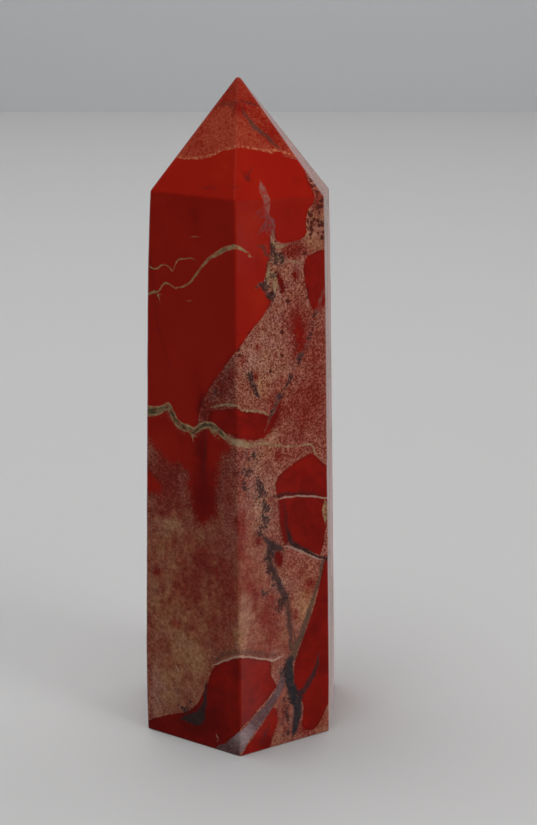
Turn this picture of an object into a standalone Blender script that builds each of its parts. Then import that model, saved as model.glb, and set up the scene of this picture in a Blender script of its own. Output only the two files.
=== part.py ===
"""A polished stone tower: one piece of jasper, ground flat on six sides and brought to a six-sided point.

The stone stands on its sawn base, with the base's centre at the origin, +Z up and the front edge towards -Y.
It is made as a lapidary makes it: a rough hexagonal blank, six long sides ground flat, six facets ground
to the tip, and every edge broken a little by the polish. No two sides are quite alike, as on any hand-cut stone.
"""

import math

import bmesh
import bpy
from mathutils import Vector
from mathutils.geometry import intersect_line_plane, intersect_plane_plane

MM = 0.001

# Driving dimensions. The facets meet a little above the finished height, because the polish blunts the tip.
HEIGHT = 90.0 * MM
TIP_BLUNTED = 0.35 * MM
TIP = Vector((-0.1 * MM, 0.0, HEIGHT + TIP_BLUNTED))
BLANK_RADIUS = 22.0 * MM
BLANK_SPARE = 4.0 * MM
EDGE_ROUND = 0.2 * MM
EDGE_SEGMENTS = 3
EDGE_ANGLE = math.radians(20.0)

# The long sides, in order round the stone seen from above, anticlockwise: the way each one faces (degrees from
# -Y towards +X), how far its foot is from the axis (mm), and how far it leans in towards the tip (degrees).
SIDES = (
    ("front_left", -31.0, 12.92, 1.13),
    ("front_right", 30.1, 13.00, 1.37),
    ("right", 84.9, 12.94, 1.17),
    ("back_right", 148.0, 12.95, 1.25),
    ("back_left", 208.0, 12.90, 1.30),
    ("left", 268.0, 12.95, 1.43),
)

# The height (mm) of the shoulder corner on each side's first edge, the one it shares with the side before it.
SHOULDER_CORNERS = {
    "front_left": 76.4,
    "front_right": 76.3,
    "right": 75.7,
    "back_right": 74.6,
    "back_left": 75.2,
    "left": 76.0,
}

JASPER_RED = (0.33, 0.030, 0.018, 1.0)
JASPER_ROUGHNESS = 0.18


def side_plane(facing, foot, lean):
    """A point on a long side's plane and the plane's outward normal."""
    turn, tilt = math.radians(facing), math.radians(lean)
    level = Vector((math.sin(turn), -math.cos(turn), 0.0))
    normal = level * math.cos(tilt) + Vector((0.0, 0.0, math.sin(tilt)))
    return level * foot * MM, normal


def shoulder_corner(plane, plane_before, height):
    """The point at that height on the edge where two neighbouring sides meet."""
    on_edge, along = intersect_plane_plane(plane[0], plane[1], plane_before[0], plane_before[1])
    return intersect_line_plane(on_edge, on_edge + along, Vector((0.0, 0.0, height * MM)), Vector((0.0, 0.0, 1.0)))


def facet_plane(corner, corner_after):
    """The plane of a tip facet, through the tip and two shoulder corners."""
    normal = (corner_after - corner).cross(TIP - corner).normalized()
    return TIP, normal


def grind(stone, point, normal):
    """Takes off all the stone outside a plane and leaves one flat face there."""
    everything = stone.verts[:] + stone.edges[:] + stone.faces[:]
    cut = bmesh.ops.bisect_plane(stone, geom=everything, dist=1e-7, plane_co=point, plane_no=normal, clear_outer=True)
    rim = [item for item in cut["geom_cut"] if isinstance(item, bmesh.types.BMEdge)]
    bmesh.ops.edgeloop_fill(stone, edges=rim)


def rough_blank():
    """A sawn hexagonal blank, larger all round than the finished stone, standing on the ground."""
    stone = bmesh.new()
    bmesh.ops.create_cone(
        stone,
        cap_ends=True,
        segments=len(SIDES),
        radius1=BLANK_RADIUS,
        radius2=BLANK_RADIUS,
        depth=HEIGHT + BLANK_SPARE,
    )
    bmesh.ops.translate(stone, verts=stone.verts, vec=(0.0, 0.0, (HEIGHT + BLANK_SPARE) / 2))
    return stone


def ground_stone():
    """The blank with its six sides and its six tip facets ground flat."""
    stone = rough_blank()
    planes = [side_plane(facing, foot, lean) for _, facing, foot, lean in SIDES]
    for point, normal in planes:
        grind(stone, point, normal)

    corners = [
        shoulder_corner(planes[i], planes[i - 1], SHOULDER_CORNERS[name])
        for i, (name, *_) in enumerate(SIDES)
    ]
    for i, corner in enumerate(corners):
        point, normal = facet_plane(corner, corners[(i + 1) % len(corners)])
        grind(stone, point, normal)

    bmesh.ops.remove_doubles(stone, verts=stone.verts, dist=0.02 * MM)
    bmesh.ops.recalc_face_normals(stone, faces=stone.faces)
    return stone


def jasper_material():
    material = bpy.data.materials.new("polished_jasper")
    material.use_nodes = True
    shader = material.node_tree.nodes["Principled BSDF"]
    shader.inputs["Base Color"].default_value = JASPER_RED
    shader.inputs["Roughness"].default_value = JASPER_ROUGHNESS
    shader.inputs["Metallic"].default_value = 0.0
    return material


def add_tower(collection):
    stone = ground_stone()
    mesh = bpy.data.meshes.new("jasper_tower")
    stone.to_mesh(mesh)
    stone.free()
    mesh.materials.append(jasper_material())
    tower = bpy.data.objects.new("jasper_tower", mesh)
    collection.objects.link(tower)

    polish = tower.modifiers.new("polished_edges", "BEVEL")
    polish.width = EDGE_ROUND
    polish.segments = EDGE_SEGMENTS
    polish.limit_method = "ANGLE"
    polish.angle_limit = EDGE_ANGLE
    polish.use_clamp_overlap = True
    return tower


def main():
    for old in list(bpy.data.objects):
        bpy.data.objects.remove(old, do_unlink=True)
    collection = bpy.data.collections.new("brecciated_jasper_tower")
    bpy.context.scene.collection.children.link(collection)
    add_tower(collection)


main()
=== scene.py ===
"""A polished tower of brecciated jasper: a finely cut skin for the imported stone, its markings, and a studio.

The markings are drawn flat, as if the stone's sides were unrolled. A place is (u, z): u counts round the
stone in side widths, 0 on the front edge, 1 on the edge to its right and -1 on the edge to its left, and z is
the height in millimetres. Under the base z goes on below 0, from the rim towards the middle of the sawn face.
"""

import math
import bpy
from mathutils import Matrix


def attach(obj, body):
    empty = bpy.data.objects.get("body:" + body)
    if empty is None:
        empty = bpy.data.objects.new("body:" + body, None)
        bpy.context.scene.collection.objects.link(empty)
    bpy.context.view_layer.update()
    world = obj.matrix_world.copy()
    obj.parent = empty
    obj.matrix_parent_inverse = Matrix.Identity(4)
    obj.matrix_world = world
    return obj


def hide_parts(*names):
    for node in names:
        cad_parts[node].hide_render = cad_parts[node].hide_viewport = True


bl_info = {
    "name": "Brecciated Jasper Tower",
    "version": (1, 0, 0),
    "blender": (4, 5, 0),
    "location": "3D View > Sidebar > Jasper",
    "description": "Dresses a jasper tower with its lumps, veins and polish, in a plain studio",
    "category": "Object",
}

from collections import namedtuple

import bmesh
import bpy
import numpy as np
from mathutils import Matrix, Vector
from mathutils.geometry import intersect_line_plane, intersect_plane_plane

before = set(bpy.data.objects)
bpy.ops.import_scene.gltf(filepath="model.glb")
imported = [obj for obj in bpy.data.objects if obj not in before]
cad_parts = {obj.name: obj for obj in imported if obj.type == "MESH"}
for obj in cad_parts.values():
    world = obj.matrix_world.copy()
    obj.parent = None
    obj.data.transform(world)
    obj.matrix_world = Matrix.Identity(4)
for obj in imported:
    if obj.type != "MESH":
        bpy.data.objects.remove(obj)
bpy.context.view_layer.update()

MM = 0.001
STONE_NODE = "jasper_tower"
SIDES = 6

# Sizes on the unrolled stone (mm): a side's usual width, how deep the base counts from rim to middle, a
# height above the tip, and the step between the stations of a drawn curve.
SIDE_WIDTH = 13.5
BASE_DEPTH = 13.0
ABOVE_TIP = 95.0
CURVE_STEP = 0.5

# Distances (mm): one that counts as far off, and how far from a vein and the tip's grain they are measured.
FAR = 6.0
VEIN_REACH = 3.0
GRAIN_REACH = 8.0

# A side's normal rises less than SIDE_RISE, and the base's falls more than BASE_FALL.
SIDE_RISE = 0.2
BASE_FALL = 0.98

# Half the breadth (mm) that the cuts down a side and across the base take in.
HALF_SIDE = 9.0
HALF_BASE = 16.0

# A lump of red jasper: its outline, how bright its red is (below 0 darker), and how far its edge fades (mm).
Lump = namedtuple("Lump", "outline tone fade")
# A vein: stations (u, z, half-width in mm and, if need be, a change of shade), its shade along its kind's
# colours, how solid it is, and how far it has crumbled into specks.
Vein = namedtuple("Vein", "route shade solid crumble", defaults=(1.0, 0.0))
# A soft stain: its middle (u, z), its half-width and half-height in mm, and how much it adds or takes away.
Stain = namedtuple("Stain", "u z half_width half_height amount")

LUMPS = {
    "upper_left": Lump([
        (-0.50, 45.4), (-0.43, 46.6), (-0.41, 48.5), (-0.37, 50.0), (-0.30, 51.6), (-0.20, 53.6),
        (-0.10, 55.4), (0.0, 57.1), (0.10, 58.7), (0.22, 60.3), (0.30, 61.3), (0.395, 62.9), (0.36, 63.6),
        (0.31, 64.8), (0.30, 65.6), (0.33, 66.6), (0.35, 67.8), (0.375, 69.0), (0.39, 70.2), (0.39, 71.3),
        (0.412, 72.3), (0.435, 71.6), (0.45, 70.7), (0.52, 70.25), (0.60, 70.35), (0.70, 70.4), (0.77, 70.8),
        (0.80, 71.3), (0.79, 72.4), (0.80, 73.6), (0.83, 74.4), (0.88, 74.9), (0.91, 76.2), (0.94, 77.4),
        (0.98, 78.6), (1.10, 79.0), (1.28, 77.2), (1.45, 77.9), (1.62, 79.6), (1.75, 83.0), (1.80, 91.0),
        (-2.60, 91.0), (-2.45, 84.0), (-2.30, 78.0), (-2.15, 72.0), (-2.28, 66.0), (-2.20, 60.0),
        (-2.05, 55.0), (-1.95, 50.5), (-1.75, 48.1), (-1.50, 47.0), (-1.20, 46.7), (-1.0, 47.0),
        (-0.90, 47.4), (-0.80, 48.0), (-0.74, 47.6), (-0.68, 46.4), (-0.62, 45.8),
    ], tone=0.25, fade=0.03),
    "under_thick_vein": Lump([
        (-1.0, 46.9), (-0.80, 47.9), (-0.62, 45.7), (-0.50, 45.5), (-0.36, 46.5), (-0.22, 46.2),
        (-0.10, 45.3), (-0.05, 44.2), (-0.13, 43.2), (-0.17, 41.5), (-0.19, 39.5), (-0.21, 37.5),
        (-0.20, 35.5), (-0.22, 34.3), (-0.30, 33.2), (-0.38, 32.5), (-0.45, 32.6), (-0.49, 33.8),
        (-0.53, 35.6), (-0.56, 37.4), (-0.55, 39.4), (-0.62, 40.2), (-0.72, 40.4), (-0.82, 40.8),
        (-0.92, 42.0), (-1.0, 43.0), (-1.1, 43.4), (-1.3, 42.2), (-1.5, 43.0), (-1.7, 45.2), (-1.75, 47.6),
        (-1.5, 47.0), (-1.2, 46.7),
    ], tone=-0.45, fade=0.9),
    "wedge": Lump([
        (-0.33, 47.2), (-0.30, 48.6), (-0.15, 49.2), (0.0, 49.7), (0.10, 49.0), (0.25, 48.5), (0.34, 47.9),
        (0.38, 47.0), (0.34, 45.6), (0.30, 45.0), (0.15, 44.9), (0.0, 45.6), (-0.15, 46.1), (-0.24, 46.9),
    ], tone=-0.9, fade=0.15),
    "crimson_by_wedge": Lump([
        (0.33, 47.2), (0.37, 48.4), (0.41, 49.8), (0.46, 51.0), (0.50, 50.6), (0.49, 49.2), (0.46, 47.9),
        (0.42, 46.6), (0.37, 45.4), (0.34, 45.8),
    ], tone=-1.3, fade=0.4),
    "crimson_by_crack": Lump([
        (0.62, 60.2), (0.67, 60.6), (0.73, 59.6), (0.77, 58.4), (0.78, 57.0), (0.74, 55.8), (0.69, 55.0),
        (0.66, 56.2), (0.64, 57.6), (0.62, 58.8),
    ], tone=-0.9, fade=0.9),
    "right_edge_upper": Lump([
        (0.755, 66.6), (0.765, 67.6), (0.80, 68.2), (0.87, 68.6), (0.95, 68.9), (1.05, 68.7), (1.2, 69.6),
        (1.38, 69.0), (1.45, 66.5), (1.36, 63.5), (1.2, 62.0), (1.08, 62.3), (1.0, 61.9), (0.95, 61.0),
        (0.90, 60.5), (0.85, 61.3), (0.81, 62.6), (0.785, 64.0), (0.765, 65.5),
    ], tone=-0.8, fade=0.04),
    "right_middle": Lump([
        (0.42, 37.4), (0.41, 38.3), (0.44, 39.3), (0.50, 39.9), (0.56, 40.3), (0.62, 40.8), (0.70, 41.2),
        (0.78, 41.6), (0.83, 41.8), (0.88, 41.2), (0.93, 40.4), (1.0, 39.5), (1.12, 39.9), (1.25, 38.4),
        (1.30, 35.6), (1.20, 33.4), (1.08, 32.6), (1.0, 31.6), (0.97, 29.6), (0.94, 27.6), (0.92, 26.9),
        (0.86, 27.3), (0.78, 28.0), (0.70, 28.7), (0.63, 29.4), (0.565, 30.2), (0.54, 31.5), (0.53, 33.0),
        (0.51, 34.4), (0.46, 35.5), (0.435, 36.4),
    ], tone=-0.9, fade=0.03),
    "right_middle_flank": Lump([
        (0.44, 36.2), (0.445, 33.6), (0.46, 31.8), (0.485, 30.3), (0.52, 29.5), (0.56, 29.9), (0.56, 31.2),
        (0.56, 33.0), (0.54, 34.8), (0.49, 36.0),
    ], tone=-1.2, fade=0.22),
    "right_lower": Lump([
        (0.945, 25.6), (0.92, 23.8), (0.895, 22.0), (0.86, 20.5), (0.82, 18.9), (0.76, 16.9), (0.70, 15.0),
        (0.65, 13.4), (0.61, 12.0), (0.60, 10.6), (0.60, 9.0), (0.62, 7.6), (0.66, 6.6), (0.70, 5.6),
        (0.71, 4.6), (0.70, 3.4), (0.685, 2.2), (0.71, 1.5), (0.77, 1.0), (0.83, 0.9), (0.88, 1.5),
        (0.93, 2.6), (0.98, 4.0), (1.05, 5.0), (1.15, 7.0), (1.3, 9.5), (1.36, 13.5), (1.28, 17.5),
        (1.18, 21.0), (1.1, 24.5), (1.02, 26.2), (0.97, 26.4),
    ], tone=-0.9, fade=0.05),
    "foot": Lump([
        (-1.02, 1.2), (-0.90, 2.2), (-0.80, 3.0), (-0.70, 3.6), (-0.60, 4.3), (-0.52, 5.0), (-0.46, 6.0),
        (-0.41, 7.3), (-0.37, 8.8), (-0.33, 10.4), (-0.29, 11.8), (-0.26, 12.7), (-0.20, 13.2), (-0.12, 13.9),
        (-0.05, 14.5), (0.0, 14.75), (0.08, 14.5), (0.20, 13.9), (0.30, 13.4), (0.35, 13.0), (0.345, 12.0),
        (0.355, 10.8), (0.39, 9.7), (0.41, 9.0), (0.38, 8.7), (0.30, 7.5), (0.20, 6.4), (0.10, 5.2),
        (0.02, 4.5), (-0.05, 2.9), (-0.15, 1.5), (-0.25, 0.2), (-0.30, -1.0), (-0.45, -3.5), (-0.80, -5.2),
        (-1.3, -4.6), (-1.8, -3.0), (-2.1, -1.0), (-2.0, 1.0), (-1.8, 3.0), (-1.5, 1.8), (-1.2, 0.9),
    ], tone=-0.9, fade=0.06),
    "foot_strip": Lump([
        (0.0, 0.0), (0.07, 1.4), (0.15, 2.6), (0.24, 4.0), (0.31, 5.2), (0.355, 6.2), (0.40, 6.0),
        (0.42, 4.8), (0.42, 3.6), (0.385, 2.4), (0.35, 1.2), (0.33, 0.0), (0.36, -2.0), (0.30, -4.2),
        (0.10, -3.5), (0.0, -1.5),
    ], tone=-0.8, fade=0.12),
    "chip_by_grey_vein": Lump([
        (0.385, 28.3), (0.41, 29.0), (0.46, 28.9), (0.495, 28.2), (0.495, 27.2), (0.47, 26.5), (0.42, 26.6),
        (0.39, 27.4),
    ], tone=-1.3, fade=0.25),
    "chip_by_front_edge": Lump([
        (0.18, 30.9), (0.21, 31.4), (0.26, 31.2), (0.25, 30.5), (0.20, 30.3),
    ], tone=-1.4, fade=0.4),
    "chip_in_matrix": Lump([
        (0.625, 66.2), (0.65, 66.9), (0.675, 66.3), (0.68, 65.3), (0.65, 64.7), (0.63, 65.3),
    ], tone=-1.3, fade=0.15),
    "chip_by_cluster": Lump([
        (0.45, 67.0), (0.475, 66.7), (0.50, 65.9), (0.535, 65.1), (0.55, 64.2), (0.52, 63.6), (0.49, 64.2),
        (0.465, 65.2), (0.445, 66.2),
    ], tone=-1.6, fade=0.25),
    "left_edge_patch": Lump([
        (-1.03, 39.2), (-0.93, 38.2), (-0.83, 36.9), (-0.86, 35.8), (-1.0, 35.6), (-1.15, 37.0),
    ], tone=0.1, fade=0.5),
    "back_mass": Lump([
        (1.46, 56.5), (1.50, 62.5), (1.60, 68.0), (1.74, 71.8), (2.02, 73.0), (2.31, 70.9), (2.55, 71.6),
        (2.86, 72.9), (3.10, 71.2), (3.34, 71.8), (3.46, 67.0), (3.60, 63.4), (3.52, 59.0), (3.30, 56.8),
        (3.18, 52.6), (2.96, 50.0), (2.78, 53.5), (2.55, 55.2), (2.38, 53.8), (2.12, 55.9), (1.94, 53.6),
        (1.70, 53.0),
    ], tone=0.0, fade=0.04),
    "right_chip": Lump([
        (1.20, 58.6), (1.26, 60.4), (1.36, 59.9), (1.34, 56.8), (1.24, 56.2),
    ], tone=-0.3, fade=0.08),
    "right_block": Lump([
        (1.42, 46.2), (1.56, 49.4), (1.80, 48.6), (1.92, 45.0), (1.78, 41.6), (1.55, 42.2),
    ], tone=-0.5, fade=0.25),
    "back_crumb": Lump([
        (2.12, 42.6), (2.20, 43.8), (2.27, 42.9), (2.19, 41.6),
    ], tone=0.0, fade=0.1),
    "back_chip": Lump([
        (2.30, 47.0), (2.40, 49.3), (2.52, 48.6), (2.50, 45.6), (2.36, 44.9),
    ], tone=0.2, fade=0.12),
    "right_back_block": Lump([
        (1.52, 20.5), (1.44, 26.0), (1.50, 32.5), (1.68, 37.6), (1.93, 39.0), (1.97, 33.0), (1.92, 27.5),
        (1.98, 22.0), (1.94, 16.9), (1.72, 19.4),
    ], tone=0.2, fade=0.04),
    "right_back_sliver": Lump([
        (2.00, 38.6), (2.28, 37.0), (2.46, 32.5), (2.38, 27.0), (2.46, 22.5), (2.30, 18.0), (2.02, 17.2),
        (2.05, 22.2), (1.99, 27.5), (2.04, 33.0),
    ], tone=0.0, fade=0.06),
    "right_back_foot": Lump([
        (1.50, -2.0), (1.52, 5.0), (1.66, 9.6), (1.80, 13.6), (2.10, 14.4), (2.20, 10.0), (2.34, 4.5),
        (2.30, -3.0), (2.10, -5.5), (1.70, -4.0),
    ], tone=-0.3, fade=0.06),
    "back_cap": Lump([
        (1.92, 91.0), (1.96, 84.0), (2.10, 79.5), (2.22, 76.0), (2.48, 75.0), (2.78, 75.8), (3.02, 74.8),
        (3.10, 78.0), (3.24, 82.5), (3.25, 91.0),
    ], tone=0.1, fade=0.05),
    "back_left_middle": Lump([
        (3.18, 46.8), (3.34, 50.5), (3.52, 54.0), (3.76, 52.2), (3.88, 48.5), (4.06, 46.0), (4.14, 41.0),
        (3.96, 37.2), (3.70, 36.8), (3.52, 34.2), (3.34, 37.5), (3.20, 41.5),
    ], tone=-0.2, fade=0.05),
    "left_chip": Lump([
        (4.28, 44.0), (4.36, 47.4), (4.52, 46.9), (4.60, 43.5), (4.46, 41.0), (4.34, 41.8),
    ], tone=-0.4, fade=0.2),
    "back_lower": Lump([
        (2.54, 36.5), (2.76, 40.2), (3.02, 39.4), (3.20, 33.5), (3.44, 31.2), (3.50, 26.0), (3.36, 19.5),
        (3.12, 21.0), (2.92, 16.4), (2.70, 18.0), (2.76, 27.0), (2.60, 31.5),
    ], tone=0.0, fade=0.05),
    "left_lower": Lump([
        (3.66, 29.0), (3.80, 32.6), (4.02, 31.0), (4.18, 27.5), (4.06, 22.0), (3.86, 17.6), (3.72, 21.5),
    ], tone=-0.3, fade=0.5),
    "back_foot": Lump([
        (2.62, -2.0), (2.66, 6.2), (2.86, 10.5), (3.04, 9.0), (3.16, 12.6), (3.44, 14.0), (3.66, 11.5),
        (3.80, 6.0), (3.76, -2.5), (3.20, -6.0),
    ], tone=0.1, fade=0.05),
}

# Veins of tan stone; the wide ones have a grey-green core.
TAN_VEINS = [
    Vein([(-2.3, 58.0, 0.15), (-2.1, 53.4, 0.3), (-1.95, 50.4, 0.4), (-1.75, 48.1, 0.5), (-1.5, 47.0, 0.5),
          (-1.2, 46.7, 0.6), (-1.0, 47.1, 0.75), (-0.9, 47.4, 0.62), (-0.80, 48.0, 0.42),
          (-0.77, 48.35, 0.48), (-0.735, 47.7, 0.42), (-0.68, 46.4, 0.48), (-0.62, 45.85, 0.52),
          (-0.55, 45.75, 0.58), (-0.50, 45.5, 0.48), (-0.46, 45.6, 0.4), (-0.42, 46.1, 0.4),
          (-0.36, 46.6, 0.42), (-0.28, 46.75, 0.45), (-0.22, 46.3, 0.38), (-0.15, 45.7, 0.4),
          (-0.10, 45.3, 0.3)], 0.8),
    Vein([(-0.14, 45.6, 0.3), (-0.08, 45.15, 0.45), (0.0, 45.0, 0.5), (0.08, 44.6, 0.45), (0.14, 44.25, 0.3)],
          0.1),
    Vein([(-0.50, 45.4, 0.25), (-0.493, 44.9, 0.2), (-0.49, 44.4, 0.05)], 0.5),
    Vein([(-0.30, 46.4, 0.2), (-0.27, 45.9, 0.18), (-0.25, 45.4, 0.05)], 0.2),
    Vein([(0.10, 44.5, 0.3), (0.18, 44.3, 0.22), (0.25, 44.35, 0.22), (0.33, 44.15, 0.28), (0.38, 43.85, 0.2),
          (0.45, 43.65, 0.22), (0.52, 43.3, 0.14), (0.60, 43.25, 0.17), (0.68, 43.05, 0.12),
          (0.75, 43.05, 0.14), (0.82, 42.95, 0.17), (0.85, 42.4, 0.12), (0.875, 41.4, 0.1),
          (0.90, 40.9, 0.04)], 0.0),
    Vein([(-0.70, 64.25, 0.05), (-0.62, 64.5, 0.09), (-0.55, 64.9, 0.12), (-0.50, 65.5, 0.13),
          (-0.45, 66.3, 0.15), (-0.40, 67.2, 0.16), (-0.35, 67.9, 0.17), (-0.30, 68.6, 0.2),
          (-0.25, 69.1, 0.22)], 0.2),
    Vein([(-0.27, 68.9, 0.15), (-0.2, 69.4, 0.28), (-0.12, 70.1, 0.3), (-0.05, 70.4, 0.29),
          (0.0, 70.55, 0.27), (0.05, 70.3, 0.19), (0.1, 69.9, 0.14), (0.13, 69.6, 0.07)], 0.6),
    Vein([(0.14, 69.2, 0.06), (0.15, 69.1, 0.13), (0.165, 69.05, 0.06)], 0.0),
    Vein([(-1.9, 60.8, 0.05), (-1.6, 61.2, 0.12), (-1.35, 62.6, 0.1), (-1.15, 62.2, 0.14), (-1.0, 62.9, 0.12),
          (-0.93, 63.45, 0.16), (-0.87, 63.6, 0.08), (-0.85, 64.2, 0.08), (-0.80, 64.8, 0.1),
          (-0.74, 64.6, 0.07), (-0.71, 64.3, 0.05)], 0.3),
    Vein([(-0.92, 63.4, 0.1), (-0.885, 62.9, 0.08), (-0.87, 62.5, 0.03)], 0.4),
    Vein([(-1.3, 65.6, 0.04), (-1.15, 66.4, 0.08), (-1.0, 66.7, 0.06), (-0.96, 66.4, 0.07),
          (-0.90, 66.5, 0.08), (-0.86, 67.0, 0.08), (-0.81, 67.2, 0.07), (-0.76, 66.9, 0.04),
          (-0.72, 66.4, 0.04), (-0.68, 67.6, 0.05), (-0.64, 68.1, 0.08), (-0.58, 68.2, 0.07),
          (-0.52, 68.4, 0.07), (-0.48, 68.3, 0.03)], 0.3),
    Vein([(-0.50, 71.15, 0.03), (-0.46, 71.2, 0.05), (-0.42, 71.3, 0.03)], 0.0),
    Vein([(-0.55, 62.8, 0.03), (-0.52, 62.9, 0.06), (-0.50, 62.9, 0.03)], 0.0),
    Vein([(-0.26, 49.2, 0.08), (-0.18, 49.65, 0.14), (-0.08, 49.95, 0.16), (0.0, 50.0, 0.1)], 0.5),
    Vein([(0.03, 49.3, 0.08), (0.10, 49.1, 0.14), (0.20, 48.85, 0.12), (0.28, 48.55, 0.14),
          (0.34, 48.0, 0.08)], 0.0),
    Vein([(0.395, 71.2, 0.1), (0.41, 70.6, 0.22), (0.44, 70.1, 0.3), (0.50, 69.9, 0.2), (0.56, 70.0, 0.08)],
          0.1),
    Vein([(0.36, 67.8, 0.1), (0.365, 67.0, 0.25), (0.35, 66.0, 0.3), (0.355, 65.2, 0.15)], 0.0),
    Vein([(0.43, 66.2, 0.1), (0.44, 65.6, 0.25), (0.43, 64.8, 0.25), (0.42, 64.0, 0.1)], 0.0),
    Vein([(0.42, 69.0, 0.1), (0.45, 68.5, 0.35), (0.49, 68.2, 0.2), (0.56, 68.0, 0.1), (0.66, 67.8, 0.12),
          (0.74, 67.5, 0.06)], 0.0),
    Vein([(0.975, 34.6, 0.1), (0.98, 33.9, 0.4), (0.985, 33.0, 0.55), (0.985, 32.2, 0.35),
          (0.98, 31.5, 0.08)], 0.0),
    Vein([(2.20, 67.6, 0.05), (2.46, 66.4, 0.14), (2.72, 65.4, 0.24), (2.80, 64.0, 0.36), (2.88, 63.4, 0.42),
          (3.10, 62.9, 0.4), (3.34, 62.2, 0.36), (3.42, 60.8, 0.3), (3.62, 59.6, 0.2), (3.80, 57.0, 0.08)],
          0.8),
    Vein([(1.35, 31.4, 0.08), (1.62, 30.8, 0.22), (1.72, 29.6, 0.34), (1.80, 29.1, 0.4), (2.04, 28.6, 0.42),
          (2.30, 28.0, 0.36), (2.38, 26.6, 0.3), (2.60, 25.6, 0.18), (2.80, 24.0, 0.06)], 0.8),
    Vein([(3.12, 46.0, 0.06), (3.36, 45.2, 0.18), (3.46, 44.0, 0.26), (3.74, 43.6, 0.3), (3.84, 43.0, 0.26),
          (4.06, 42.5, 0.16), (4.22, 41.2, 0.05)], 0.5),
    Vein([(1.98, 83.0, 0.05), (2.2, 82.0, 0.12), (2.45, 82.5, 0.12), (2.7, 81.0, 0.14), (3.0, 81.6, 0.06)],
          0.3),
    Vein([(1.58, 9.4, 0.06), (1.82, 8.4, 0.18), (1.92, 7.4, 0.24), (2.16, 6.9, 0.2), (2.36, 5.6, 0.1)], 0.4),
]

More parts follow.
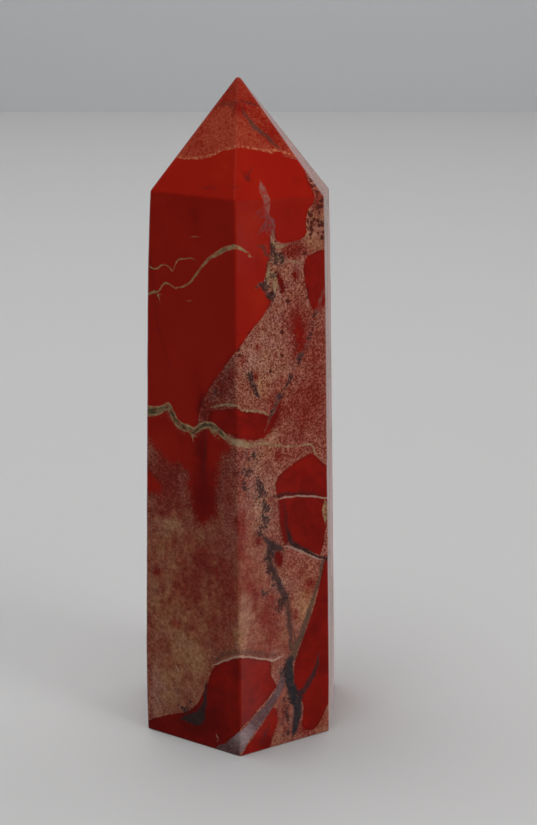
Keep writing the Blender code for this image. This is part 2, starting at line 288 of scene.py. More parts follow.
# Veins and cracks of dark iron stone, by shade: 0 olive, 0.33 grey, 0.62 navy, 1 maroon black.
DARK_VEINS = [
    Vein([(1.25, 66.8, 0.1), (1.0, 63.7, 0.14), (0.93, 61.5, 0.18), (0.885, 60.1, 0.36), (0.86, 59.5, 0.46),
          (0.82, 58.8, 0.42), (0.81, 57.5, 0.2), (0.77, 56.2, 0.18), (0.72, 55.4, 0.26), (0.69, 54.9, 0.36),
          (0.64, 54.1, 0.42), (0.61, 53.5, 0.38), (0.58, 52.2, 0.2), (0.54, 51.3, 0.26), (0.50, 50.8, 0.42),
          (0.46, 50.2, 0.4), (0.42, 49.2, 0.26), (0.38, 48.2, 0.2), (0.35, 47.6, 0.1), (0.31, 46.2, 0.05)],
          0.75, crumble=0.66),
    Vein([(0.26, 70.3, 0.1), (0.30, 70.3, 0.14), (0.32, 69.6, 0.14), (0.35, 69.0, 0.16), (0.38, 68.8, 0.1)],
          0.1, solid=0.7),
    Vein([(-0.99, 68.0, 0.05), (-0.95, 65.0, 0.09), (-0.90, 60.0, 0.09), (-0.82, 56.5, 0.09),
          (-0.76, 54.0, 0.05)], 1.0, solid=0.3),
    Vein([(0.125, 55.0, 0.06), (0.15, 54.0, 0.14), (0.17, 52.8, 0.2), (0.19, 52.0, 0.2), (0.215, 51.0, 0.16),
          (0.24, 50.6, 0.08)], 0.75, solid=0.85, crumble=0.8),
    Vein([(0.24, 65.2, 0.1), (0.28, 65.3, 0.2), (0.32, 65.1, 0.3), (0.35, 64.5, 0.4), (0.38, 63.9, 0.35),
          (0.40, 63.2, 0.1)], 0.3, crumble=0.8),
    Vein([(0.40, 70.4, 0.15), (0.41, 69.7, 0.2), (0.44, 69.1, 0.3), (0.48, 68.7, 0.35), (0.515, 68.4, 0.2),
          (0.50, 67.8, 0.1)], 0.15, crumble=0.7),
    Vein([(0.30, 36.8, 0.1), (0.29, 35.8, 0.24), (0.305, 34.8, 0.28), (0.30, 33.6, 0.26), (0.29, 32.8, 0.08)],
          0.4, crumble=0.72),
    Vein([(0.06, 39.6, 0.1), (0.07, 38.9, 0.3), (0.09, 38.3, 0.12)], 0.6, crumble=0.72),
    Vein([(0.20, 39.6, 0.1), (0.23, 38.9, 0.3), (0.26, 38.0, 0.34), (0.29, 37.4, 0.2), (0.33, 36.9, 0.1)],
          0.6, crumble=0.72),
    Vein([(0.275, 31.4, 0.1), (0.33, 30.5, 0.35), (0.37, 29.7, 0.52), (0.42, 29.4, 0.45), (0.47, 29.2, 0.25),
          (0.50, 28.8, 0.1)], 0.35),
    Vein([(0.33, 29.6, 0.36, 0.25), (0.33, 28.2, 0.3, 0.0), (0.35, 27.2, 0.36, 0.1), (0.38, 26.2, 0.4, 0.2),
          (0.41, 25.3, 0.34, 0.0), (0.44, 24.2, 0.4, 0.2), (0.475, 23.1, 0.44, 0.3), (0.50, 22.2, 0.48, 0.3),
          (0.52, 21.2, 0.38, 0.0)], 0.4, solid=0.9, crumble=0.1),
    Vein([(0.52, 21.4, 0.4), (0.54, 20.0, 0.32), (0.55, 18.8, 0.3), (0.56, 17.6, 0.38), (0.57, 16.4, 0.3),
          (0.565, 15.2, 0.25), (0.56, 13.8, 0.2)], 0.3, solid=0.75),
    Vein([(0.50, 35.6, 0.06), (0.52, 34.6, 0.12), (0.53, 33.0, 0.14), (0.55, 31.3, 0.2)], 1.0, solid=0.55),
    Vein([(0.55, 31.5, 0.18), (0.575, 30.0, 0.32), (0.60, 29.4, 0.34), (0.65, 28.9, 0.28), (0.72, 28.3, 0.26),
          (0.80, 27.5, 0.22), (0.88, 26.9, 0.18), (0.94, 26.5, 0.15), (1.0, 26.2, 0.2), (1.1, 26.6, 0.25),
          (1.3, 25.2, 0.1)], 1.0),
    Vein([(0.40, 36.7, 0.08), (0.47, 36.6, 0.22), (0.53, 36.65, 0.22), (0.60, 36.6, 0.17), (0.67, 36.4, 0.17),
          (0.74, 36.3, 0.12), (0.82, 36.0, 0.08), (0.90, 35.6, 0.05)], 1.0, solid=0.8),
    Vein([(0.95, 26.2, 0.15), (0.935, 25.2, 0.24), (0.91, 23.8, 0.2), (0.86, 21.9, 0.22), (0.81, 20.2, 0.34),
          (0.765, 18.5, 0.36), (0.715, 16.8, 0.38), (0.665, 15.2, 0.42), (0.62, 13.8, 0.42),
          (0.585, 12.8, 0.5)], 0.05, solid=0.85),
    Vein([(0.59, 13.2, 0.3), (0.545, 11.9, 0.7), (0.545, 10.6, 0.72), (0.555, 9.5, 0.66), (0.57, 8.5, 0.66),
          (0.59, 7.4, 0.74), (0.62, 6.4, 0.84), (0.64, 5.3, 0.72), (0.64, 4.2, 0.62), (0.63, 3.2, 0.56),
          (0.615, 2.2, 0.5), (0.60, 1.2, 0.2)], 0.62),
    Vein([(0.56, 11.2, 0.4), (0.50, 11.1, 0.4), (0.465, 10.7, 0.3), (0.45, 10.3, 0.05)], 0.3),
    Vein([(0.66, 6.7, 0.4), (0.70, 7.2, 0.44), (0.75, 8.0, 0.4), (0.80, 9.0, 0.36), (0.84, 9.9, 0.3),
          (0.87, 11.0, 0.22), (0.885, 12.2, 0.1)], 0.75, solid=0.82),
    Vein([(-0.27, 13.5, 0.15), (-0.20, 14.2, 0.3), (-0.12, 15.0, 0.35), (0.0, 15.5, 0.38), (0.10, 15.2, 0.38),
          (0.22, 14.6, 0.35), (0.34, 14.0, 0.3), (0.42, 13.8, 0.1)], 0.33, solid=0.4),
    Vein([(-1.0, 86.3, 0.08), (-0.8, 86.6, 0.16), (-0.5, 86.8, 0.2), (-0.25, 86.9, 0.22), (0.0, 87.2, 0.14),
          (0.15, 87.3, 0.08)], 1.0, solid=0.28),
    Vein([(-0.24, 86.9, 0.1), (-0.19, 86.5, 0.25), (-0.17, 86.1, 0.08)], 1.0, solid=0.35),
    Vein([(0.09, 79.4, 0.06), (0.13, 78.9, 0.2), (0.16, 78.5, 0.2), (0.19, 79.0, 0.18), (0.24, 79.5, 0.06)],
          1.0, solid=0.4),
    Vein([(-0.45, 77.1, 0.06), (-0.36, 77.4, 0.16), (-0.29, 77.5, 0.16), (-0.22, 77.2, 0.05)], 1.0,
          solid=0.25),
    Vein([(-0.10, 77.9, 0.05), (0.0, 77.7, 0.1), (0.08, 77.9, 0.05)], 1.0, solid=0.25),
    Vein([(-0.50, 76.4, 0.05), (-0.47, 75.0, 0.14), (-0.455, 73.5, 0.14), (-0.46, 71.8, 0.05)], 1.0,
          solid=0.06),
    Vein([(0.20, 0.8, 0.05), (0.25, 1.8, 0.16), (0.30, 3.0, 0.12), (0.32, 3.8, 0.05)], 0.9, solid=0.6),
    Vein([(-0.62, 3.2, 0.15), (-0.57, 3.4, 0.5), (-0.52, 3.6, 0.8), (-0.47, 3.8, 1.0), (-0.42, 4.5, 0.8),
          (-0.39, 5.8, 0.4), (-0.37, 7.4, 0.2), (-0.355, 9.8, 0.06)], 0.5, solid=0.92),
    Vein([(-1.0, 67.4, 0.03), (-0.96, 65.2, 0.05), (-0.90, 62.8, 0.06), (-0.86, 61.0, 0.03)], 1.0, solid=0.4),
    Vein([(-0.375, 51.0, 0.05), (-0.36, 48.0, 0.08), (-0.36, 45.8, 0.05), (-0.355, 43.8, 0.08),
          (-0.36, 42.0, 0.1), (-0.37, 39.0, 0.05)], 1.0, solid=0.4),
    Vein([(0.19, 87.3, 0.08), (0.35, 87.1, 0.12), (0.60, 86.9, 0.2), (0.85, 86.7, 0.12), (1.1, 86.4, 0.06)],
          0.85, solid=0.45),
    Vein([(0.20, 86.2, 0.08), (0.27, 85.7, 0.22), (0.36, 85.2, 0.18), (0.44, 84.6, 0.32), (0.545, 83.8, 0.34),
          (0.62, 83.3, 0.3), (0.68, 82.95, 0.3), (0.745, 82.2, 0.22), (0.80, 81.6, 0.08)], 0.2, solid=0.7),
    Vein([(1.02, 72.5, 0.1), (1.2, 73.6, 0.2), (1.36, 73.0, 0.26), (1.52, 74.0, 0.3), (1.70, 73.2, 0.32),
          (1.86, 74.2, 0.26), (2.06, 74.6, 0.12)], 0.5),
    Vein([(1.46, 55.4, 0.1), (1.40, 53.2, 0.26), (1.30, 50.8, 0.3), (1.34, 47.6, 0.34), (1.38, 44.0, 0.3),
          (1.50, 41.0, 0.28), (1.68, 39.6, 0.2), (1.95, 41.2, 0.1)], 0.6, crumble=0.55),
    Vein([(2.56, 74.0, 0.08), (2.50, 71.8, 0.2), (2.56, 69.0, 0.24), (2.52, 66.0, 0.2), (2.62, 61.5, 0.28),
          (2.58, 57.0, 0.3), (2.66, 54.0, 0.24), (2.88, 49.6, 0.2), (2.98, 47.6, 0.08)], 0.2),
    Vein([(2.50, 41.0, 0.08), (2.51, 37.0, 0.22), (2.56, 33.8, 0.3), (2.63, 29.0, 0.34), (2.66, 23.0, 0.3),
          (2.60, 17.6, 0.38), (2.52, 13.0, 0.3), (2.54, 7.0, 0.24), (2.50, 1.0, 0.2), (2.44, -5.0, 0.1)],
          0.62),
    Vein([(3.50, 34.8, 0.1), (3.56, 30.4, 0.3), (3.58, 24.5, 0.26), (3.62, 19.6, 0.3), (3.70, 16.8, 0.34),
          (3.94, 14.2, 0.22), (4.16, 12.4, 0.22), (4.36, 11.6, 0.1)], 0.8),
    Vein([(1.94, 41.6, 0.06), (1.98, 37.6, 0.14), (1.97, 30.0, 0.18), (2.02, 23.5, 0.16), (1.99, 16.6, 0.1)],
          1.0, solid=0.9),
    Vein([(-1.5, 42.8, 0.1), (-1.55, 39.0, 0.3), (-1.45, 36.0, 0.2), (-1.5, 33.0, 0.1)], 0.3, crumble=0.55),
]

# Pale quartz veins, by shade: -1 near white, 0 lilac grey, 1 cream. Two of them also paint highlight along the
# front edge.
PALE_VEINS = [
    Vein([(0.335, 77.7, 0.3), (0.34, 77.0, 0.5), (0.355, 76.0, 0.48), (0.35, 75.0, 0.5), (0.345, 74.3, 0.3)],
          0.5, solid=0.6),
    Vein([(0.345, 74.5, 0.3), (0.37, 73.6, 0.4), (0.405, 73.2, 0.45), (0.42, 72.5, 0.34), (0.41, 71.6, 0.26),
          (0.40, 70.6, 0.3)], 0.25, solid=0.62),
    Vein([(0.34, 75.1, 0.15), (0.31, 74.8, 0.3), (0.27, 74.6, 0.34), (0.24, 74.2, 0.26)], 0.2, solid=0.5),
    Vein([(0.37, 73.7, 0.2), (0.33, 72.9, 0.36), (0.295, 72.4, 0.36), (0.27, 72.1, 0.2)], 0.2, solid=0.55),
    # A cream fleck where the thick tan vein crosses the front edge: partly the vein's own pale knot, partly a
    # painted highlight of that edge.
    Vein([(-0.06, 45.1, 0.1), (-0.02, 45.05, 0.3), (0.03, 44.9, 0.35), (0.07, 44.7, 0.15)], 0.8, solid=0.8),
    # The wide lilac-grey band. Its shade drops below 0 where it crosses the front edge: a white streak of its
    # own, and partly a painted highlight of that edge.
    Vein([(-0.35, -3.5, 1.1, 0.0), (-0.22, -1.5, 1.2, 0.0), (-0.13, 0.0, 1.2, 0.0), (-0.05, 1.4, 1.15, -0.3),
          (0.03, 2.7, 1.05, -0.75), (0.11, 3.8, 0.95, -0.5), (0.20, 4.9, 0.85, 0.0), (0.29, 6.1, 0.7, -0.1),
          (0.36, 7.2, 0.6, -0.1), (0.42, 8.3, 0.55, -0.25), (0.46, 9.4, 0.5, -0.1), (0.475, 10.4, 0.2, 0.0)],
          0.15),
    Vein([(-0.27, 12.75, 0.06), (-0.20, 13.4, 0.12), (-0.12, 14.1, 0.12), (-0.05, 14.65, 0.12),
          (0.0, 14.9, 0.13), (0.08, 14.65, 0.13), (0.20, 14.05, 0.12), (0.30, 13.55, 0.12),
          (0.37, 13.2, 0.15), (0.45, 13.4, 0.1)], 0.9),
    Vein([(0.44, 36.2, 0.06), (0.53, 36.2, 0.13), (0.62, 36.15, 0.1), (0.70, 36.0, 0.12), (0.78, 35.8, 0.1),
          (0.86, 35.5, 0.11), (0.94, 35.15, 0.08), (1.0, 34.9, 0.1), (1.1, 34.2, 0.04)], 0.8),
    Vein([(0.53, 29.3, 0.08), (0.60, 28.85, 0.14), (0.68, 28.2, 0.13), (0.76, 27.5, 0.1), (0.85, 26.8, 0.12),
          (0.92, 26.3, 0.08)], 0.7),
    Vein([(0.82, 80.75, 0.03), (0.87, 80.6, 0.06), (0.93, 80.35, 0.06), (0.99, 80.1, 0.04)], 0.6, solid=0.6),
    Vein([(-0.242, 2.05, 0.05), (-0.24, 2.0, 0.06)], 1.0),
    Vein([(-0.662, 10.8, 0.08), (-0.66, 10.74, 0.1)], 1.0),
    Vein([(1.05, 17.0, 0.1), (1.25, 15.4, 0.2), (1.5, 15.8, 0.5), (1.75, 14.8, 0.55), (1.95, 15.6, 0.45),
          (2.2, 16.2, 0.35), (2.45, 17.4, 0.15)], 0.2),
    Vein([(2.95, 16.2, 0.1), (3.2, 16.4, 0.3), (3.45, 17.6, 0.5), (3.65, 16.2, 0.5), (3.85, 13.4, 0.4),
          (4.1, 11.6, 0.3), (4.3, 10.6, 0.1)], 0.3),
    Vein([(3.66, 73.0, 0.08), (3.58, 69.0, 0.2), (3.60, 65.0, 0.26), (3.54, 60.5, 0.3), (3.60, 56.5, 0.2),
          (3.78, 54.2, 0.1)], 0.5),
]

# Where the ground between the lumps is redder (+) or paler (-) than usual.
RED_STAINS = [
    Stain(0.28, 55.5, 3.2, 4.5, -0.28), Stain(0.07, 55.8, 0.5, 0.6, 0.8), Stain(0.21, 53.4, 0.45, 0.55, 0.8),
    Stain(0.23, 57.2, 0.5, 0.5, 0.8), Stain(-0.06, 54.2, 0.6, 0.9, 0.5), Stain(0.44, 42.2, 0.6, 0.7, 0.7),
    Stain(0.04, 33.2, 0.5, 1.6, 0.45), Stain(0.13, 27.5, 0.7, 1.0, 0.3), Stain(0.12, 24.4, 1.3, 1.6, 0.3),
    Stain(0.28, 20.0, 1.4, 1.8, 0.25), Stain(0.22, 31.2, 0.9, 0.8, 0.45), Stain(-0.45, 26.5, 3.2, 3.5, 0.14),
    Stain(0.10, 20.8, 0.9, 2.4, -0.35), Stain(0.20, 35.5, 1.4, 3.0, -0.2), Stain(0.42, 45.2, 0.7, 0.7, -0.5),
    Stain(0.45, 60.5, 2.0, 3.5, -0.05), Stain(0.63, 69.2, 1.8, 0.9, 0.8), Stain(0.69, 60.0, 1.4, 3.0, 0.55),
    Stain(0.88, 54.0, 2.6, 6.5, 0.36), Stain(0.68, 47.0, 3.6, 3.8, 0.34), Stain(0.96, 44.5, 1.4, 3.0, 0.2),
    Stain(0.42, 48.4, 1.2, 2.2, 0.5), Stain(-0.16, 51.8, 2.0, 2.6, 0.52), Stain(-0.33, 48.4, 1.3, 2.2, 0.9),
    Stain(0.60, 42.0, 2.6, 1.0, 0.25), Stain(0.22, 42.0, 2.0, 2.0, -0.08), Stain(-0.08, 40.5, 1.5, 4.2, 0.35),
    Stain(0.28, 35.5, 1.4, 4.5, -0.2), Stain(0.05, 33.0, 0.8, 4.0, 0.25), Stain(0.10, 24.8, 1.5, 2.4, 0.2),
    Stain(0.34, 18.8, 1.8, 4.2, 0.36), Stain(0.04, 19.5, 0.7, 4.5, -0.75), Stain(0.02, 30.5, 0.5, 1.8, 0.45),
    Stain(0.71, 20.0, 1.4, 2.4, -0.35), Stain(0.80, 22.6, 1.0, 1.0, 0.35), Stain(0.58, 26.0, 1.0, 1.2, 0.2),
    Stain(0.79, 23.2, 0.6, 0.6, 0.5), Stain(0.68, 24.8, 0.8, 1.0, 0.3), Stain(0.63, 18.8, 0.7, 0.7, 0.4),
    Stain(0.22, 46.6, 1.2, 1.0, 0.1), Stain(0.52, 7.0, 1.5, 6.0, 0.12), Stain(-0.45, 24.0, 4.0, 5.0, 0.16),
    Stain(-0.50, 22.0, 1.6, 4.0, 0.14), Stain(-0.12, 25.0, 2.2, 8.0, 0.4), Stain(-0.40, 28.5, 1.8, 2.2, 0.3),
    Stain(-0.90, 24.4, 0.9, 0.8, 0.8), Stain(-0.69, 17.4, 0.8, 0.6, 0.7), Stain(-0.85, 13.4, 2.4, 1.1, 0.25),
    Stain(-0.98, 17.0, 0.6, 0.9, 0.35), Stain(-0.92, 33.2, 2.2, 0.6, 0.3), Stain(-0.78, 38.0, 3.6, 4.4, 0.75),
    Stain(-0.75, 31.8, 2.0, 0.9, -0.5), Stain(-0.95, 21.0, 1.2, 2.6, -0.2),
    Stain(-0.56, 13.8, 2.6, 2.4, -0.6), Stain(-0.85, 6.0, 2.6, 3.6, -0.5),
    Stain(-0.55, 10.5, 1.5, 1.6, -0.15), Stain(-0.66, 28.0, 1.8, 2.2, -0.1),
    Stain(-0.35, 31.5, 1.4, 1.2, -0.1), Stain(-0.28, 17.0, 1.4, 2.8, 0.2), Stain(-0.97, 8.0, 0.7, 2.5, 0.15),
    Stain(0.91, 1.6, 0.6, 0.8, 0.2), Stain(0.70, 1.4, 1.9, 1.4, 0.4), Stain(0.30, 22.0, 1.2, 2.5, 0.2),
    Stain(0.50, 2.5, 0.9, 3.0, 0.15), Stain(0.93, 71.5, 1.8, 2.4, -0.2), Stain(0.95, 76.0, 1.2, 1.6, 0.35),
    Stain(0.45, 67.5, 1.5, 2.0, -0.1), Stain(1.4, 57.0, 3.0, 5.0, 0.3), Stain(1.7, 38.5, 3.0, 2.0, -0.2),
    Stain(2.2, 54.0, 3.0, 2.5, 0.35), Stain(2.5, 38.5, 2.0, 2.0, -0.15), Stain(3.1, 15.0, 3.0, 3.0, 0.3),
    Stain(4.4, 38.0, 3.5, 2.5, 0.4), Stain(4.3, 8.0, 3.5, 3.0, -0.2), Stain(1.4, 4.0, 2.0, 3.0, 0.2),
    Stain(3.2, 38.0, 2.0, 2.0, 0.25),
]

# Where that ground is browner and more tan than its usual pinkish cream.
TAN_STAINS = [
    Stain(-0.55, 20.0, 9.0, 18.0, 0.85), Stain(0.92, 73.0, 1.8, 4.0, 0.5), Stain(0.72, 21.5, 2.0, 4.5, 0.6),
    Stain(0.20, 52.0, 2.5, 3.0, 0.45), Stain(0.40, 67.0, 1.0, 1.6, 0.7), Stain(0.30, 43.5, 2.0, 1.5, 0.4),
    Stain(0.93, 69.6, 1.0, 1.0, 0.6), Stain(0.36, 46.0, 0.8, 1.2, 0.5), Stain(-0.62, 38.0, 2.0, 2.0, -0.4),
    Stain(1.7, 38.0, 4.0, 4.0, 0.7), Stain(2.6, 16.0, 4.0, 5.0, 0.5), Stain(4.4, 10.0, 5.0, 6.0, 0.7),
    Stain(3.4, 55.0, 3.0, 3.0, 0.5), Stain(0.94, 1.8, 1.0, 1.8, 0.6),
]

# Where specks of dark iron stone are thick.
DARK_STAINS = [
    Stain(0.14, 43.4, 1.1, 1.1, 0.65), Stain(0.05, 41.6, 0.8, 1.4, 0.55), Stain(0.09, 39.6, 1.5, 3.0, 0.42),
    Stain(0.24, 38.2, 1.6, 2.6, 0.5), Stain(0.34, 34.2, 1.4, 3.0, 0.55), Stain(0.20, 34.5, 1.1, 2.8, 0.3),
    Stain(0.18, 42.0, 1.6, 2.0, 0.3), Stain(0.13, 54.2, 0.8, 1.2, 0.4), Stain(0.36, 28.2, 1.0, 1.8, 0.5),
    Stain(0.42, 25.2, 1.0, 1.8, 0.5), Stain(0.50, 22.0, 1.2, 1.8, 0.5), Stain(0.55, 18.6, 0.9, 2.4, 0.4),
    Stain(0.42, 30.0, 1.1, 0.9, 0.5), Stain(0.28, 23.4, 1.0, 1.4, 0.55), Stain(0.34, 26.0, 0.8, 2.4, 0.5),
    Stain(0.30, 28.5, 0.9, 1.4, 0.4), Stain(0.24, 32.0, 1.1, 1.2, 0.5), Stain(0.40, 20.0, 1.2, 2.4, 0.35),
    Stain(0.60, 12.8, 0.8, 1.2, 0.5), Stain(0.38, 65.0, 1.3, 1.6, 0.66), Stain(0.39, 67.2, 1.1, 1.4, 0.7),
    Stain(0.45, 69.0, 1.2, 1.4, 0.75), Stain(0.38, 63.6, 0.8, 1.0, 0.5), Stain(-0.18, 41.0, 1.3, 2.6, 0.5),
    Stain(-0.16, 51.6, 1.6, 2.2, 0.45), Stain(0.17, 52.8, 1.2, 2.4, 0.45), Stain(-0.60, 4.8, 1.1, 1.1, 0.9),
    Stain(0.47, 11.4, 0.8, 1.6, 0.6), Stain(0.53, 6.4, 0.9, 2.6, 0.6), Stain(-0.30, 50.0, 0.7, 0.8, 0.5),
    Stain(-0.62, 40.0, 2.4, 1.4, 0.3), Stain(-0.90, 22.0, 0.7, 0.9, 0.5), Stain(-0.66, 7.2, 0.4, 1.3, 0.6),
    Stain(-0.24, 14.0, 0.8, 0.8, 0.6), Stain(0.50, 2.6, 1.0, 2.4, 0.45), Stain(0.29, 23.3, 0.5, 0.5, 0.7),
    Stain(-0.55, 6.2, 0.9, 1.0, 0.5), Stain(0.95, 69.4, 0.35, 0.5, 0.8), Stain(0.75, 5.8, 0.8, 0.4, 0.45),
    Stain(0.66, 1.8, 1.8, 1.6, 0.35), Stain(0.46, 20.5, 0.9, 2.4, 0.25), Stain(-0.10, 54.2, 0.5, 1.6, 0.35),
    Stain(-0.24, 51.8, 0.4, 1.4, 0.4), Stain(0.50, 12.0, 0.8, 1.4, 0.3), Stain(0.52, 6.0, 0.9, 4.5, 0.42),
    Stain(0.55, 24.5, 0.7, 2.0, 0.25), Stain(1.25, 52.0, 1.4, 3.0, 0.6), Stain(1.5, 70.5, 2.0, 1.4, 0.5),
    Stain(2.45, 54.5, 1.6, 1.4, 0.6), Stain(2.6, 38.0, 1.2, 1.6, 0.6), Stain(3.6, 34.2, 1.2, 1.4, 0.6),
    Stain(3.55, 17.5, 1.4, 1.2, 0.5), Stain(4.5, 37.0, 1.4, 2.0, 0.5), Stain(4.15, 5.5, 1.0, 1.6, 0.5),
    Stain(2.72, 16.0, 0.8, 2.0, 0.5),
]

# Where the grains of the ground blur together.
SOFT_STAINS = [
    Stain(-0.55, 20.0, 9.0, 20.0, 0.75), Stain(0.10, 26.0, 3.0, 9.0, 0.45), Stain(0.45, 14.0, 5.0, 8.0, 0.45),
    Stain(0.5, 3.5, 2.0, 5.0, 0.6), Stain(-0.6, 8.0, 5.0, 7.0, 0.25), Stain(0.93, 1.5, 1.2, 2.0, 0.6),
    Stain(0.75, 20.0, 3.0, 6.0, 0.25), Stain(0.92, 73.0, 1.8, 4.2, 0.6), Stain(-1.6, 20.0, 8.0, 14.0, 0.6),
    Stain(2.5, 10.0, 7.0, 12.0, 0.6), Stain(3.6, 30.0, 7.0, 9.0, 0.5), Stain(1.5, 2.0, 7.0, 5.0, 0.5),
]

# Where rounded dark dots sit in the ground.
DOT_STAINS = [
    Stain(0.90, 73.2, 1.9, 4.4, 1.0), Stain(0.97, 77.4, 1.0, 2.0, 0.8), Stain(0.20, 56.0, 3.5, 4.0, 0.12),
    Stain(0.50, 64.0, 2.5, 2.5, 0.2), Stain(1.2, 71.5, 2.5, 1.6, 0.8), Stain(2.6, 38.5, 2.0, 1.6, 0.7),
    Stain(3.6, 57.0, 1.5, 3.0, 0.7), Stain(-1.4, 36.0, 3.0, 3.0, 0.5),
]

# Where the brick-coloured grain on the tip is thin.
THIN_GRAIN_STAINS = [
    Stain(0.85, 83.4, 2.0, 2.4, 0.28), Stain(0.60, 86.0, 1.2, 1.4, 0.2), Stain(0.15, 86.4, 0.9, 0.9, 0.35),
    Stain(-0.5, 88.4, 2.0, 1.0, 0.15), Stain(1.8, 84.0, 3.0, 2.5, 0.3), Stain(3.4, 84.5, 3.0, 2.0, 0.25),
]

# Where the red itself turns towards orange (+) or clouds over dark (-).
RED_CLOUDS = [
    Stain(0.15, 47.3, 0.9, 1.0, -0.35), Stain(0.62, 33.0, 2.0, 3.0, -0.2), Stain(0.20, 73.0, 1.8, 2.6, 0.5),
    Stain(0.33, 68.8, 1.2, 1.6, 0.35), Stain(0.25, 63.5, 2.0, 2.4, 0.3), Stain(0.62, 74.0, 2.2, 2.6, -0.45),
    Stain(-0.78, 42.8, 2.6, 2.0, 0.6), Stain(-0.92, 37.2, 1.2, 1.2, 0.6), Stain(-0.08, 6.0, 1.2, 2.6, 0.25),
    Stain(-0.05, 60.0, 1.2, 8.0, -0.2), Stain(-0.45, 57.0, 2.0, 4.0, -0.15),
    Stain(0.15, 79.1, 0.4, 0.5, -0.9), Stain(0.18, 78.5, 0.3, 0.4, -0.9), Stain(-0.33, 77.4, 0.7, 0.4, -0.7),
    Stain(0.24, 68.0, 0.5, 1.2, -0.8), Stain(0.82, 77.6, 1.0, 0.8, -0.7), Stain(-0.28, 5.2, 0.9, 1.8, -0.3),
    Stain(-0.50, 3.6, 1.9, 1.7, -1.6), Stain(0.13, 8.0, 0.5, 0.5, -0.35), Stain(-0.02, 12.3, 0.9, 0.9, -0.5),
    Stain(0.83, 31.4, 0.25, 0.35, -0.8), Stain(0.84, 16.4, 0.7, 0.9, -0.6),
    Stain(-0.45, 87.0, 2.0, 0.35, -1.2), Stain(-0.60, 88.6, 1.2, 0.6, -0.8),
    Stain(-0.12, 82.5, 0.35, 0.7, -0.9), Stain(0.93, 10.5, 1.0, 1.2, -0.4), Stain(0.86, 3.0, 2.0, 3.4, -0.5),
    Stain(-0.38, 48.8, 1.0, 2.6, -1.3), Stain(-0.45, 52.8, 0.8, 2.0, -0.6),
    Stain(-0.18, 36.5, 1.0, 4.0, -0.5), Stain(-0.38, 36.5, 1.8, 3.6, -0.6),
    Stain(-0.39, 42.8, 1.0, 2.6, -0.8), Stain(-0.62, 43.8, 0.6, 1.2, -0.5),
    Stain(-0.78, 58.0, 2.0, 2.0, -0.15), Stain(-0.46, 74.0, 0.9, 2.0, -0.8),
    Stain(-0.72, 75.2, 1.0, 1.0, -0.25), Stain(-0.90, 79.0, 1.0, 1.4, 0.3), Stain(0.05, 79.0, 1.6, 1.6, 0.2),
    Stain(0.80, 80.0, 1.0, 1.0, -0.4), Stain(0.05, 76.8, 0.5, 0.5, -0.4), Stain(0.30, 1.2, 0.7, 0.9, -0.7),
    Stain(0.12, 46.2, 0.8, 0.8, 0.2), Stain(1.7, 62.0, 2.0, 3.0, 0.3), Stain(3.0, 62.0, 2.0, 4.0, -0.4),
    Stain(1.9, 27.0, 2.5, 3.0, 0.35), Stain(-1.4, 58.0, 3.0, 3.0, -0.3), Stain(-1.6, 70.0, 3.0, 3.0, 0.3),
]

# The brick-coloured grain that crosses the tip: its lower edge all the way round.
GRAIN_EDGE = [
    (-3.0, 81.5), (-2.5, 79.4), (-2.0, 80.6), (-1.5, 79.2), (-1.0, 80.3), (-0.86, 80.2), (-0.73, 80.15),
    (-0.56, 80.36), (-0.41, 80.8), (-0.257, 81.45), (-0.01, 81.95), (0.14, 81.9), (0.28, 81.65), (0.49, 81.3),
    (0.65, 80.95), (0.74, 81.2), (0.84, 80.9), (0.92, 80.5), (1.0, 80.15), (1.4, 81.2), (1.8, 80.6),
    (2.3, 82.6), (2.7, 81.0), (3.0, 81.5),
]

# Usual level of each stain, before the stains above are added.
USUAL_RED = 0.40
USUAL_TAN = 0.15


class JasperSizes(bpy.types.PropertyGroup):
    """Sizes of the stone's skin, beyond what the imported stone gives."""

    cell: bpy.props.FloatProperty(
        name="Cell", description="Spacing of the mesh that carries the markings", default=0.36 * MM,
        min=0.2 * MM, precision=5, unit="LENGTH")
    base_cell: bpy.props.FloatProperty(
        name="Base cell", description="Spacing of the mesh under the sawn base", default=0.7 * MM,
        min=0.3 * MM, precision=5, unit="LENGTH")
    bow: bpy.props.FloatProperty(
        name="Bow", description="How far the hand-ground sides swell between foot and shoulder",
        default=0.12 * MM, precision=5, unit="LENGTH")
    left_bow: bpy.props.FloatProperty(
        name="Left bow", description="How much more the left edge swells than the others",
        default=0.2 * MM, precision=5, unit="LENGTH")
    ripple: bpy.props.FloatProperty(
        name="Ripple", description="Height of the slow waves that hand polishing leaves", default=0.012 * MM,
        precision=6, unit="LENGTH")


def colour(name, description, value):
    """A colour a user would change, as the linear values the shader takes."""
    return bpy.props.FloatVectorProperty(
        name=name, description=description, subtype="COLOR", size=4, min=0.0, max=1.0, default=(*value, 1.0))


